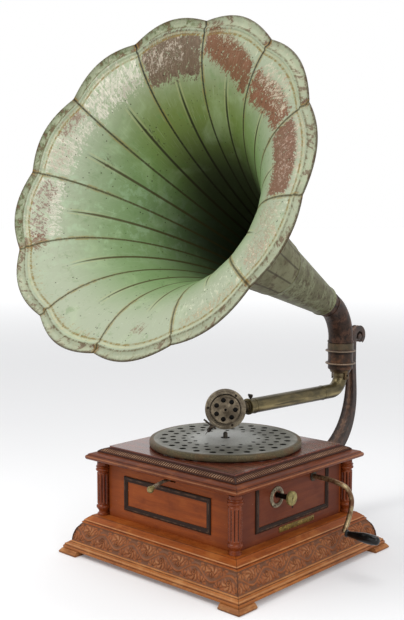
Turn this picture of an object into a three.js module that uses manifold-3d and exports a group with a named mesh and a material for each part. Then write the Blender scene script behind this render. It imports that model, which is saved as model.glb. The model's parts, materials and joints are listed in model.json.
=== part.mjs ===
// Horn gramophone in a carved cabinet, in millimetres.
// +Z is up, the front of the cabinet faces -Y and the winding crank is at +X.
// The turntable's axis is x = 0, y = 0 while the pieces are made.

import * as THREE from 'three';
import { mergeVertices } from 'three/addons/utils/BufferGeometryUtils.js';
import Module from 'manifold-3d';

const wasm = await Module();
wasm.setup();

// Driving dimensions

const degree = Math.PI / 180;
const fit = 0.3;
const overrun = 4;
const weldGap = 1e-4;

const platter = {
  radius: 127, rim: 10.5, plate: 2.6, skirt: 3, clearance: 1.7, hub: 15, edge: 1.2, margin: 15,
};
const cabinet = {
  wallHalf: platter.radius + platter.margin, wall: 14, wallHeight: 90, postHalf: 12.6,
};
const base = {
  reach: 51, fillet: 1.5, step: 48.5, stepRise: 8, top: 44, topRise: 10.3, height: 12.5, footBeyond: 6,
};
const foot = {
  reach: base.reach + base.footBeyond, toe: 1.6, rise: 2.4, heel: 5, height: 8.5, span: 42, depth: 26,
};
const frieze = {
  foot: 40.5, belly: 36.5, bellyRise: 17.5, shoulder: 32, shoulderRise: 24.5, top: 28, height: 29.5,
};
const ledge = {
  bead: 28.3, beadRise: 2.5, cove: 25.4, coveRise: 6, shelf: 17.5, shelfRise: 12, rest: 13, height: 14.5,
};
const floorBoard = { thickness: 5 };
const column = {
  centre: 2.5, shaft: 9.8, flute: 1.3, flutes: 8, capital: 12.2, torus: 11.8, neck: 7.6, plinth: 10,
};
const columnRise = {
  plinth: 3, neck: 5.5, torus: 12.5, torusTop: 16, shaft: 20, shaftTop: 71, capital: 76, capitalTop: 82,
};
const frame = { half: 95, width: 8.5, lift: 3.2, low: 17, frontHigh: 74, sideHigh: 110 };
const cornice = {
  under: 6, lip: 22.7, lipRise: 5, nose: 23.7, noseRise: 9, arris: 19.5, arrisRise: 13.8,
  seat: 9.5, height: 16.5,
};
const strip = { outer: 9, shoulder: 4.6, inner: 5.2, rise: 1.6, crown: 4.6, height: 7.6 };
const board = { gap: 0.3, height: 10 };
const namePlate = {
  length: 92, height: 8.6, thickness: 1, centre: 10, above: 5.4, pin: 1.2, proud: 0.8, pinInset: 3.4,
};

const holes = { radii: [55, 70, 88, 104], sizes: [6.4, 7.2, 8.7, 10], counts: [12, 24, 24, 24] };
const spindle = { radius: 3.9, above: 9.8, point: 2.2, collar: 7, collarHeight: 4, foot: 2.6 };

const motor = { plate: 3, hang: 7, depth: 76, post: 4, border: 8, apron: 24 };
const train = {
  barrelTeeth: 36, pinionTeeth: 9, wheelTeeth: 32, spindleTeeth: 8, slow: 2.13, quick: 1.75,
  face: 5, thin: 3.6, lift: 1.2, stack: 2.4,
};
const barrel = { radius: 33.5, wall: 1.6, height: 26, aside: 40, lip: 7.6 };
const ribbon = { thickness: 0.9, height: 20, turns: 5, steps: 12 };
const arbor = { radius: 5.2, pivot: 3 };
const ratchet = {
  teeth: 14, radius: 14, notch: 2.6, thickness: 3, reach: 18, rise: 17, boss: 3, nose: 2.5, post: 2.2,
};
const contrate = { teeth: 20, outer: 23.2, ring: 4.4, tooth: 2.6, web: 3 };
const crankPinion = { teeth: 10, face: 5 };
const worm = {
  root: 3.1, tip: 5, starts: 2, half: 9.5, wheelTeeth: 20, module: 1.8, wheelFace: 6, play: 0.57, level: 26,
};
const governor = {
  shaft: 1.6, collar: 4, collarLength: 4, springFrom: 22, span: 27, springTail: 5.6, bow: 8, leaf: 4.4,
  leafThickness: 0.7, weight: 5.2, weightLength: 6, disc: 14, discThickness: 2, bearing: 4.5, tail: 6,
};
const padLever = {
  pivotOut: 15, pivotBack: 34, post: 2.2, arm: 4, thickness: 3, pad: 3, padLength: 2.4, travel: 1.6,
};

const crank = { along: 53, below: 11.5, rod: 4, bush: 8.5, bushThickness: 2.2, hold: 6 };
const crankRoute = {
  run: 48, runDrop: 2.5, out: 63, kneeDrop: 10.5, kneeIn: 5, bowOut: 2.5, bowDrop: 31, bowIn: 15,
  backDrop: 64, backIn: 7, drop: 79.5, aside: 3, steps: 14,
};
const grip = { length: 60, neck: 4.6, swell: 8.2, end: 6.6, start: 3 };
const knob = { along: -42, radius: 11.3, thickness: 5, out: 26, stem: 4.2, dimple: 1.6, below: 22.5 };
const rose = { outer: 17, inner: 10.4, thickness: 2 };
const brake = {
  aside: 7.5, back: 24, rod: 2, out: 40, droop: 6.5, knob: 4.2, knobLength: 9, slotHeight: 6,
  slotWidth: 16, stem: 3, arm: 28, armWidth: 7, armThickness: 3, pad: 4, padSpan: 12, below: 0.6,
};

const bracket = {
  footWidth: 33, headWidth: 14, footThickness: 23, headThickness: 13, back: 232, footRise: 25, above: 6.5,
  plateWidth: 60, plateThickness: 6, plateHeight: 68, plateRise: 4, scroll: 20, scrollEnd: 9,
};
const collar = {
  rise: 117, height: 50.5, skirt: 11.3, space: 23.8, seat: 18, under: 23.6, flange: 28.7, waist: 24,
  top: 24.6, ledge: 17.7, bore: 21.4, bead: 2.1, lug: 18, behind: 2.8,
};
const sleeve = {
  tube: 17.2, bore: 15, throat: 11.6, flange: 20.7, flangeThickness: 3, ring: 18.6, ringThickness: 5.4,
  ear: 17.4, earWidth: 12, earDrop: 7.5, pin: 2,
};
const arm = {
  radius: 13.4, wall: 1.5, ball: 14.4, mouth: 9.5, below: 12, drop: 28.5, length: 255.8, swingAngle: 4.5,
};
const thumb = { inset: 8, stem: 1.6, wing: 3.4, thickness: 1.8, length: 7 };
const box = {
  beyond: 68.9, aside: 16, hang: 27.6, turnAngle: 45.5, radius: 34.5, thickness: 14, flange: 3, guard: 25,
  guardRise: 3.4, plate: 1.2, hole: 3.5, ring: 16.6, holes: 7, boss: 4.2, eye: 1.7, back: 16,
  screwRing: 29.4, hollow: 26,
};
const boxNeck = { radius: 9.4, wall: 1.4, grip: 20, handle: 29, collar: 11.2, collarLength: 3.5 };
const stylus = {
  angle: -128, bar: 2.8, barUp: 18, barDown: 8.2, chuck: 3.4, chuckLength: 11, needle: 0.8, above: 0.5,
  taper: 8, screw: 1.7, screwLength: 9,
};

const horn = {
  turnAngle: 4.98, tiltAngle: 22.49, rise: 56.3, mouth: 600, neckEnd: 256, neckStart: 75, smallRadius: 27.3,
  neckRadius: 49.7, ridgeRadius: 241, rimRadius: 258.5, sheet: 1.6, petals: 12, seamAngle: 24.63,
  lobe: 10, forward: 5, lip: 1, bead: 3, nose: 3.5, band: 1.6, bandWidth: 4,
};
const elbow = { radius: 23.3, wall: 2.4, bend: 47, reach: 112, spigot: 17, rib: 1.6, ribHeight: 4 };

// Counts of flat faces and steps

const around = { rim: 40, fine: 20, round: 12, coarse: 10, small: 8, hole: 5 };
const bendSteps = 6;
const neckSteps = 5;
const flareSteps = 9;
const petalSteps = 4;
const boxScrewAngles = [53, 175, -67];

// Shares: each is a part of the size that it multiplies

const arcShare = 4 / 3;
const holeTurnShares = [0.25, 0, 0.5, 0];
const toothShares = { root: 0.26, tip: 0.11, depth: 1.1, height: 0.8 };
const clickShares = { gap: 0.06, face: 0.12 };
const crownShares = { root: 0.24, tip: 0.1 };
const frameShares = { edge: 0.5, crest: 0.33, cove: 0.67 };
const leafShares = { steps: [0, 0.2, 0.5, 0.8, 1], bows: [0, 0.75, 1, 0.75, 0] };
const gripShares = { ring: 1.25, waist: 0.78, low: 0.3, high: 0.68 };
const padShare = 0.7;
const droopShare = 0.35;
const acornShares = { near: 0.33, far: 0.67 };
const bracketShares = { out: 0.58, dip: 0.25, low: 0.12, high: 0.62, taper: 1.25 };
const scrollShares = { turn: 1.3, tighten: 0.45 };
const ballShare = 0.55;
const backShare = 0.8;
const chuckShare = 0.7;
const tipShare = 0.15;
const flareShares = { along: 0.617, rise: 0.123, drop: 0.055, back: 0.466 };
const lipShares = { crest: 0.25, valley: 0.55, edge: 0.9 };
const lobePower = 5;

// Levels that stack up from the floor

const level = {};
level.base = foot.height;
level.frieze = level.base + base.height;
level.ledge = level.frieze + frieze.height;
level.wall = level.ledge + ledge.height;
level.cornice = level.wall + cabinet.wallHeight;
level.board = level.cornice + cornice.height;
level.deck = level.board + board.height;
level.skirt = level.deck + platter.clearance;
level.turntable = level.skirt + platter.rim;
level.crank = level.cornice - crank.below;
level.knob = level.cornice - knob.below;
level.motorTop = level.board - motor.hang;
level.motorFloor = level.motorTop - motor.depth;
level.governor = level.motorFloor + worm.level;
level.collar = level.cornice + collar.rise;
level.seat = level.collar + collar.seat;
level.flangeLow = level.collar + collar.skirt;
level.flangeHigh = level.flangeLow + collar.space;
level.collarTop = level.collar + collar.height;
level.ball = level.collar - arm.below;
level.arm = level.ball - arm.drop;
level.horn = level.collarTop + horn.rise;

// Solid tools

function closed(geometry) {
  const bare = new THREE.BufferGeometry();
  bare.setAttribute('position', geometry.getAttribute('position').clone());
  if (geometry.index) bare.setIndex(geometry.index.clone());
  const welded = mergeVertices(bare, weldGap);
  const place = welded.getAttribute('position');
  const [a, b, c] = [new THREE.Vector3(), new THREE.Vector3(), new THREE.Vector3()];
  const corners = [];
  let volume = 0;
  for (let i = 0; i < welded.index.count; i += 3) {
    const [p, q, r] = [0, 1, 2].map((k) => welded.index.getX(i + k));
    if (p === q || q === r || r === p) continue;
    corners.push([p, q, r]);
    a.fromBufferAttribute(place, p);
    b.fromBufferAttribute(place, q);
    c.fromBufferAttribute(place, r);
    volume += a.dot(b.cross(c));
  }
  if (volume < 0) corners.forEach((corner) => corner.reverse());
  welded.setIndex(corners.flat());
  return welded;
}

function solid(geometry) {
  const shell = closed(geometry);
  return new wasm.Manifold(new wasm.Mesh({
    numProp: 3,
    vertProperties: Float32Array.from(shell.getAttribute('position').array),
    triVerts: Uint32Array.from(shell.index.array),
  }));
}

function surface(manifold) {
  const mesh = manifold.getMesh();
  const geometry = new THREE.BufferGeometry();
  geometry.setAttribute('position', new THREE.BufferAttribute(mesh.vertProperties, mesh.numProp));
  geometry.setIndex(new THREE.BufferAttribute(mesh.triVerts, 1));
  return geometry;
}

const cut = (body, ...tools) => {
  const left = tools.reduce((rest, tool) => rest.subtract(solid(tool)), solid(body));
  return surface(left);
};
const join = (...bodies) => surface(bodies.map(solid).reduce((whole, next) => whole.add(next)));
const common = (body, other) => surface(solid(body).intersect(solid(other)));

// Form tools

function block(x0, x1, y0, y1, z0, z1) {
  const form = new THREE.BoxGeometry(x1 - x0, y1 - y0, z1 - z0);
  return form.translate((x0 + x1) / 2, (y0 + y1) / 2, (z0 + z1) / 2);
}

function turned(profile, sides) {
  const points = profile.map(([radius, height]) => new THREE.Vector2(radius, height));
  return new THREE.LatheGeometry([...points, points[0]], sides).rotateX(Math.PI / 2);
}

function rod(radius, z0, z1, sides, endRadius = radius) {
  return turned([[0, z0], [radius, z0], [endRadius, z1], [0, z1]], sides);
}

function ringRod(outer, inner, z0, z1, sides) {
  return turned([[inner, z0], [outer, z0], [outer, z1], [inner, z1]], sides);
}

function along(form, axis) {
  return axis === 'x' ? form.rotateY(Math.PI / 2) : form.rotateX(-Math.PI / 2);
}

// A mitred moulding round a rectangle: each profile point is a reach out of it and a height.
function mitred(halfX, halfY, profile) {
  const signs = [[-1, -1], [1, -1], [1, 1], [-1, 1]];
  const places = [];
  const corners = [];
  const rows = profile.length;
  signs.forEach(([x, y]) => profile.forEach(([reach, height]) => {
    places.push(x * (halfX + reach), y * (halfY + reach), height);
  }));
  for (let side = 0; side < signs.length; side += 1) {
    for (let row = 0; row < rows; row += 1) {
      const a = side * rows + row;
      const b = side * rows + ((row + 1) % rows);
      const c = ((side + 1) % signs.length) * rows + row;
      const d = ((side + 1) % signs.length) * rows + ((row + 1) % rows);
      corners.push(a, c, b, b, c, d);
    }
  }
  const form = new THREE.BufferGeometry();
  form.setAttribute('position', new THREE.Float32BufferAttribute(places, 3));
  form.setIndex(corners);
  return closed(form);
}

function outline(points) {
  return new THREE.Shape(points.map(([x, y]) => new THREE.Vector2(x, y)));
}

function slab(shape, z0, thickness, steps = 1) {
  const form = new THREE.ExtrudeGeometry(shape, { depth: thickness, bevelEnabled: false, steps });
  return form.translate(0, 0, z0);
}

function discOutline(radius, sides, bore = 0, boreSides = around.small) {
  const ring = (size, count) => Array.from({ length: count }, (_, i) => {
    const angle = (i / count) * 2 * Math.PI;
    return new THREE.Vector2(size * Math.cos(angle), size * Math.sin(angle));
  });
  const shape = new THREE.Shape(ring(radius, sides));
  if (bore > 0) shape.holes.push(new THREE.Path(ring(bore, boreSides)));
  return shape;
}

// A path seen as a few stations: one step along a straight run, more steps along a bend.
class Route extends THREE.Curve {
  constructor(pieces, steps) {
    super();
    const path = new THREE.CurvePath();
    pieces.forEach((piece) => path.add(piece));
    this.spots = path.getPoints(steps);
  }

  station(share) {
    return Math.round(share * (this.spots.length - 1));
  }

  getPointAt(share) {
    return this.spots[this.station(share)].clone();
  }

  getTangentAt(share) {
    const middle = this.station(share);
    const before = this.spots[Math.max(0, middle - 1)];
    const after = this.spots[Math.min(this.spots.length - 1, middle + 1)];
    return after.clone().sub(before).normalize();
  }
}

function tube(route, radius, bore, sides) {
  const shape = discOutline(radius, sides, bore, sides);
  const steps = route.spots.length - 1;
  return closed(new THREE.ExtrudeGeometry(shape, { steps, bevelEnabled: false, extrudePath: route }));
}

const spot = (x, y, z) => new THREE.Vector3(x, y, z);
const straight = (from, to) => new THREE.LineCurve3(from, to);

// A round bend between two directions, set into the corner where they meet
function bend(corner, wayIn, wayOut, radius) {
  const angle = wayIn.angleTo(wayOut);
  const tangent = radius * Math.tan(angle / 2);
  const handle = radius * arcShare * Math.tan(angle / 4);
  const from = corner.clone().addScaledVector(wayIn, -tangent);
  const to = corner.clone().addScaledVector(wayOut, tangent);
  return new THREE.CubicBezierCurve3(
    from, from.clone().addScaledVector(wayIn, handle), to.clone().addScaledVector(wayOut, -handle), to,
  );
}

// A toothed outline with a tooth at the turn angle; short narrow teeth leave running clearance.
function toothed(teeth, module, turn, bore) {
  const pitchRadius = (teeth * module) / 2;
  const root = pitchRadius - toothShares.depth * module;
  const tip = pitchRadius + toothShares.height * module;
  const pitch = (2 * Math.PI) / teeth;
  const points = [];
  for (let i = 0; i < teeth; i += 1) {
    const middle = turn + i * pitch;
    const flanks = [[-toothShares.root, root], [-toothShares.tip, tip]];
    const mirrored = [[toothShares.tip, tip], [toothShares.root, root]];
    [...flanks, ...mirrored].forEach(([share, radius]) => {
      const angle = middle + share * pitch;
      points.push([radius * Math.cos(angle), radius * Math.sin(angle)]);
    });
  }
  const shape = outline(points);
  if (bore > 0) shape.holes.push(new THREE.Path(discOutline(bore, around.small).getPoints()));
  return shape;
}

// Turns each layer of an extrusion about its axis, one full turn in each lead.
function twisted(form, lead, middle) {
  const place = form.getAttribute('position');
  for (let i = 0; i < place.count; i += 1) {
    const angle = ((place.getZ(i) - middle) / lead) * 2 * Math.PI;
    const [x, y] = [place.getX(i), place.getY(i)];
    place.setX(i, x * Math.cos(angle) - y * Math.sin(angle));
    place.setY(i, x * Math.sin(angle) + y * Math.cos(angle));
  }
  return form;
}

// Scene graph

const finishes = {
  walnut: ['#8a4a28', 0.5, 0],
  darkWood: ['#4a241a', 0.35, 0],
  ebonised: ['#1d1a19', 0.4, 0],
  greenPaint: ['#8aa377', 0.55, 0.1],
  brownPaint: ['#6a4638', 0.7, 0.1],
  castIron: ['#3d332d', 0.6, 0.6],
  brass: ['#8d7c45', 0.4, 0.9],
  agedBrass: ['#7c765f', 0.45, 0.8],
  steel: ['#8b8c8a', 0.35, 1],
  springSteel: ['#54585e', 0.35, 1],
  blackWood: ['#101010', 0.15, 0],
  mica: ['#c9b98e', 0.25, 0],
};

const gramophone = new THREE.Group();

function add(name, form, finish, parent = gramophone) {
  const [color, roughness, metalness] = finishes[finish];
  const material = new THREE.MeshStandardMaterial({ color, roughness, metalness });
  const geometry = closed(form);
  geometry.computeVertexNormals();
  const mesh = new THREE.Mesh(geometry, material);
  mesh.name = name;
  parent.add(mesh);
  return mesh;
}

function group(parent, x, y, z, turnZ = 0) {
  const place = new THREE.Group();
  place.position.set(x, y, z);
  place.rotation.z = turnZ;
  parent.add(place);
  return place;
}

// Cabinet: feet, base mouldings, carved frieze and ledge

function cabinetBase() {
  const { wallHalf, wall } = cabinet;
  const innerHalf = wallHalf - wall;
  const footRing = mitred(wallHalf, wallHalf, [
    [foot.reach - foot.depth, 0], [foot.reach - foot.toe, 0], [foot.reach, foot.rise],
    [foot.reach - foot.heel, foot.height], [foot.reach - foot.depth, foot.height],
  ]);
  const tip = wallHalf + foot.reach;
  [['front', -1], ['back', 1]].forEach(([end, y]) => [['left', -1], ['right', 1]].forEach(([side, x]) => {
    const [x0, x1] = [x * (tip - foot.span), x * (tip + overrun)].sort((a, b) => a - b);
    const [y0, y1] = [y * (tip - foot.span), y * (tip + overrun)].sort((a, b) => a - b);
    const corner = block(x0, x1, y0, y1, -overrun, foot.height + overrun);
    add(`foot_${end}_${side}`, common(footRing, corner), 'walnut');
  }));
  const inner = -wall;
  add('base_moulding', mitred(wallHalf, wallHalf, [
    [inner, level.base], [base.reach, level.base], [base.reach, level.base + base.fillet],
    [base.step, level.base + base.stepRise], [base.top, level.base + base.topRise],
    [frieze.foot, level.frieze], [inner, level.frieze],
  ]), 'walnut');
  add('carved_frieze', mitred(wallHalf, wallHalf, [
    [inner, level.frieze], [frieze.foot, level.frieze], [frieze.belly, level.frieze + frieze.bellyRise],
    [frieze.shoulder, level.frieze + frieze.shoulderRise], [frieze.top, level.ledge], [inner, level.ledge],
  ]), 'walnut');
  add('ledge_moulding', mitred(wallHalf, wallHalf, [
    [inner, level.ledge], [ledge.bead, level.ledge], [ledge.bead, level.ledge + ledge.beadRise],
    [ledge.cove, level.ledge + ledge.coveRise], [ledge.shelf, level.ledge + ledge.shelfRise],
    [ledge.rest, level.wall], [inner, level.wall],
  ]), 'walnut');
  const half = innerHalf - fit;
  const top = level.base + floorBoard.thickness;
  add('floor_board', block(-half, half, -half, half, level.base, top), 'walnut');
}

// Case walls with the slot and the bores that the levers and shafts pass through

const postInner = () => cabinet.wallHalf + column.centre - cabinet.postHalf;

function caseWalls() {
  const { wallHalf, wall } = cabinet;
  const [low, high] = [level.wall, level.cornice];
  const inner = wallHalf - wall;
  const notch = (x, y) => {
    const [x0, x1] = [x * postInner(), x * (wallHalf + overrun)].sort((a, b) => a - b);
    const [y0, y1] = [y * postInner(), y * (wallHalf + overrun)].sort((a, b) => a - b);
    return block(x0, x1, y0, y1, low - overrun, high + overrun);
  };
  const slotLevel = high - brake.below;
  const slotCentre = brake.aside + (brake.slotWidth - 2 * brake.stem) / 2;
  const slot = block(
    slotCentre - brake.slotWidth / 2, slotCentre + brake.slotWidth / 2,
    -wallHalf - overrun, -inner + overrun, slotLevel - brake.slotHeight, slotLevel,
  );
  const front = block(-wallHalf, wallHalf, -wallHalf, -inner, low, high);
  add('case_front', cut(front, notch(-1, -1), notch(1, -1), slot), 'walnut');
  const back = block(-wallHalf, wallHalf, inner, wallHalf, low, high);
  add('case_back', cut(back, notch(-1, 1), notch(1, 1)), 'walnut');
  add('case_left', block(-wallHalf, -inner, -inner, inner, low, high), 'walnut');
  const bore = (radius, y, z) => {
    const drill = rod(radius, inner - overrun, wallHalf + overrun, around.round);
    return along(drill, 'x').translate(0, y, z);
  };
  const right = block(inner, wallHalf, -inner, inner, low, high);
  add('case_right', cut(
    right,
    bore(crank.rod + 2 * fit, crank.along, level.crank),
    bore(knob.stem + 2 * fit, knob.along, level.knob),
  ), 'walnut');
}

// Corner columns: a fluted shaft between turned ends

function columns() {
  const { wallHalf } = cabinet;
  const rise = columnRise;
  const floor = level.wall;
  const shaftShape = outline(Array.from({ length: column.flutes * 2 }, (_, i) => {
    const radius = i % 2 ? column.shaft - column.flute : column.shaft;
    const angle = (i / column.flutes) * Math.PI;
    return [radius * Math.cos(angle), radius * Math.sin(angle)];
  }));
  const shaft = slab(shaftShape, floor + rise.shaft - overrun, rise.shaftTop - rise.shaft + 2 * overrun);
  const lower = turned([
    [0, floor], [column.plinth, floor], [column.plinth, floor + rise.plinth],
    [column.neck, floor + rise.neck],
    [column.torus, floor + rise.torus], [column.torus, floor + rise.torusTop],
    [column.shaft - column.flute, floor + rise.shaft], [0, floor + rise.shaft],
  ], around.coarse);
  const upper = turned([
    [0, floor + rise.shaftTop], [column.shaft - column.flute, floor + rise.shaftTop],
    [column.capital, floor + rise.capital], [column.capital, floor + rise.capitalTop],
    [column.plinth, level.cornice], [0, level.cornice],
  ], around.coarse);
  const whole = join(lower, shaft, upper);
  const centre = wallHalf + column.centre;
  [['front', -1], ['back', 1]].forEach(([end, y]) => [['left', -1], ['right', 1]].forEach(([side, x]) => {
    add(`column_${end}_${side}`, whole.clone().translate(x * centre, y * centre, 0), 'walnut');
  }));
}

// Ebonised panel frames; those at the sides run up to the cornice

function panelFrames() {
  const frameOf = (high) => {
    const half = (high - frame.low) / 2;
    const { width, lift } = frame;
    const { edge, crest, cove } = frameShares;
    const ring = mitred(frame.half, half, [
      [-width, 0], [0, 0], [0, lift * edge], [-width * crest, lift], [-width * cove, lift * edge],
      [-width, lift * edge],
    ]).rotateX(Math.PI / 2).translate(0, -cabinet.wallHalf, level.wall + frame.low + half);
    const reach = cabinet.wallHalf + lift + overrun;
    return common(ring, block(-reach, reach, -reach, reach, level.wall, level.cornice));
  };
  add('panel_frame_front', frameOf(frame.frontHigh), 'ebonised');
  add('panel_frame_right', frameOf(frame.sideHigh).rotateZ(Math.PI / 2), 'ebonised');
  add('panel_frame_left', frameOf(frame.sideHigh).rotateZ(-Math.PI / 2), 'ebonised');
}

// Cornice, carved strip and the board that carries the motor

const boardHalf = () => cabinet.wallHalf - strip.inner - board.gap;
const shaftBore = () => spindle.collar + 2 * fit;
const brakeBack = () => -cabinet.wallHalf + cabinet.wall + brake.back;

function cabinetTop() {
  const { wallHalf } = cabinet;
  add('cornice', mitred(wallHalf, wallHalf, [
    [-cabinet.wall, level.cornice], [cornice.under, level.cornice],
    [cornice.lip, level.cornice + cornice.lipRise],
    [cornice.nose, level.cornice + cornice.noseRise], [cornice.arris, level.cornice + cornice.arrisRise],
    [cornice.seat, level.board], [-cabinet.wall, level.board],
  ]), 'walnut');
  add('carved_strip', mitred(wallHalf, wallHalf, [
    [-strip.inner, level.board], [strip.outer, level.board], [strip.outer, level.board + strip.rise],
    [strip.shoulder, level.board + strip.crown], [-strip.inner, level.board + strip.height],
  ]), 'darkWood');
  const half = boardHalf();
  const shaftHole = rod(shaftBore(), level.board - overrun, level.deck + overrun, around.coarse);
  const brakeHole = rod(brake.stem + fit, level.board - overrun, level.deck + overrun, around.coarse);
  const top = block(-half, half, -half, half, level.board, level.deck);
  add('motor_board', cut(top, shaftHole, brakeHole.translate(brake.aside, brakeBack(), 0)), 'darkWood');
}

// Bare plate low on the right side, with its two pins

function plate() {
  const face = cabinet.wallHalf;
  const low = level.wall + namePlate.above;
  const near = namePlate.centre - namePlate.length / 2;
  const far = near + namePlate.length;
  const sheet = block(face, face + namePlate.thickness, near, far, low, low + namePlate.height);
  const reach = face + namePlate.thickness + namePlate.proud;
  const pin = (y) => along(rod(namePlate.pin, face + fit, reach, around.small), 'x')
    .translate(0, y, low + namePlate.height / 2);
  add('name_plate', join(sheet, pin(near + namePlate.pinInset), pin(far - namePlate.pinInset)), 'brass');
}

// Perforated turntable, spindle and the worm wheel that turns the governor

function turntable() {
  const { radius, plate: sheet, skirt, edge, hub } = platter;
  const under = level.turntable - sheet;
  const dish = turned([
    [spindle.radius + fit, level.skirt], [hub, level.skirt], [hub, under], [radius - skirt, under],
    [radius - skirt, level.skirt], [radius, level.skirt], [radius, level.turntable - edge],
    [radius - edge, level.turntable], [spindle.radius + fit, level.turntable],
  ], around.rim);
  const drills = [];
  holes.radii.forEach((ring, k) => {
    const count = holes.counts[k];
    for (let i = 0; i < count; i += 1) {
      const angle = ((i + holeTurnShares[k]) / count) * 2 * Math.PI;
      const drill = rod(holes.sizes[k] / 2, under - fit, level.turntable + fit, around.hole);
      drills.push(drill.translate(ring * Math.cos(angle), ring * Math.sin(angle), 0));
    }
  });
  add('turntable_platter', cut(dish, ...drills), 'agedBrass');
  const footLevel = level.motorFloor + motor.plate;
  const toWheel = wheelPlace().angle();
  const phase = toWheel + Math.PI + Math.PI / train.spindleTeeth;
  const pinionShape = toothed(train.spindleTeeth, train.quick, phase, 0);
  const pinion = slab(pinionShape, footLevel + fit, train.thin + 2 * train.lift);
  const top = level.turntable + spindle.above;
  const shaft = turned([
    [0, level.motorFloor + fit], [spindle.foot, level.motorFloor + fit], [spindle.foot, footLevel + fit],
    [spindle.radius, footLevel + fit], [spindle.radius, level.skirt - spindle.collarHeight],
    [spindle.collar, level.skirt - spindle.collarHeight], [spindle.collar, level.skirt],
    [spindle.radius, level.skirt], [spindle.radius, top - spindle.point], [spindle.point, top], [0, top],
  ], around.coarse);
  add('spindle', join(shaft, pinion), 'steel');
  const middle = level.governor;
  const wheelShape = toothed(worm.wheelTeeth, worm.module, 0, spindle.radius + 2 * fit);
  const wheel = slab(wheelShape, middle - worm.wheelFace / 2, worm.wheelFace, 2);
  add('worm_wheel', twisted(wheel, wormWheelLead(), middle), 'brass');
}

// Where the wheels stand: the train runs from the barrel by way of one wheel to the spindle

const slowGap = () => (train.barrelTeeth + train.pinionTeeth) * train.slow / 2;
const quickGap = () => (train.wheelTeeth + train.spindleTeeth) * train.quick / 2;
const barrelPlace = () => new THREE.Vector2(barrel.aside, crank.along);

function wheelPlace() {
  const [near, far] = [quickGap(), slowGap()];
  const way = barrelPlace();
  const span = way.length();
  const alongWay = (near * near - far * far + span * span) / (2 * span);
  const beside = Math.sqrt(near * near - alongWay * alongWay);
  const unit = way.clone().divideScalar(span);
  return new THREE.Vector2(unit.x * alongWay - unit.y * beside, unit.y * alongWay + unit.x * beside);
}

const wormPitch = () => (worm.root + worm.tip) / 2;
const wormLead = () => Math.PI * worm.module * worm.starts;
const wormWheelRadius = () => (worm.wheelTeeth * worm.module) / 2;
const wormGap = () => wormWheelRadius() + wormPitch() + worm.play;
const wormWheelLead = () => (2 * Math.PI * wormWheelRadius()) * (2 * Math.PI * wormPitch()) / wormLead();

// Spring barrel, mainspring, winding arbor with its ratchet, and the pawl

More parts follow.
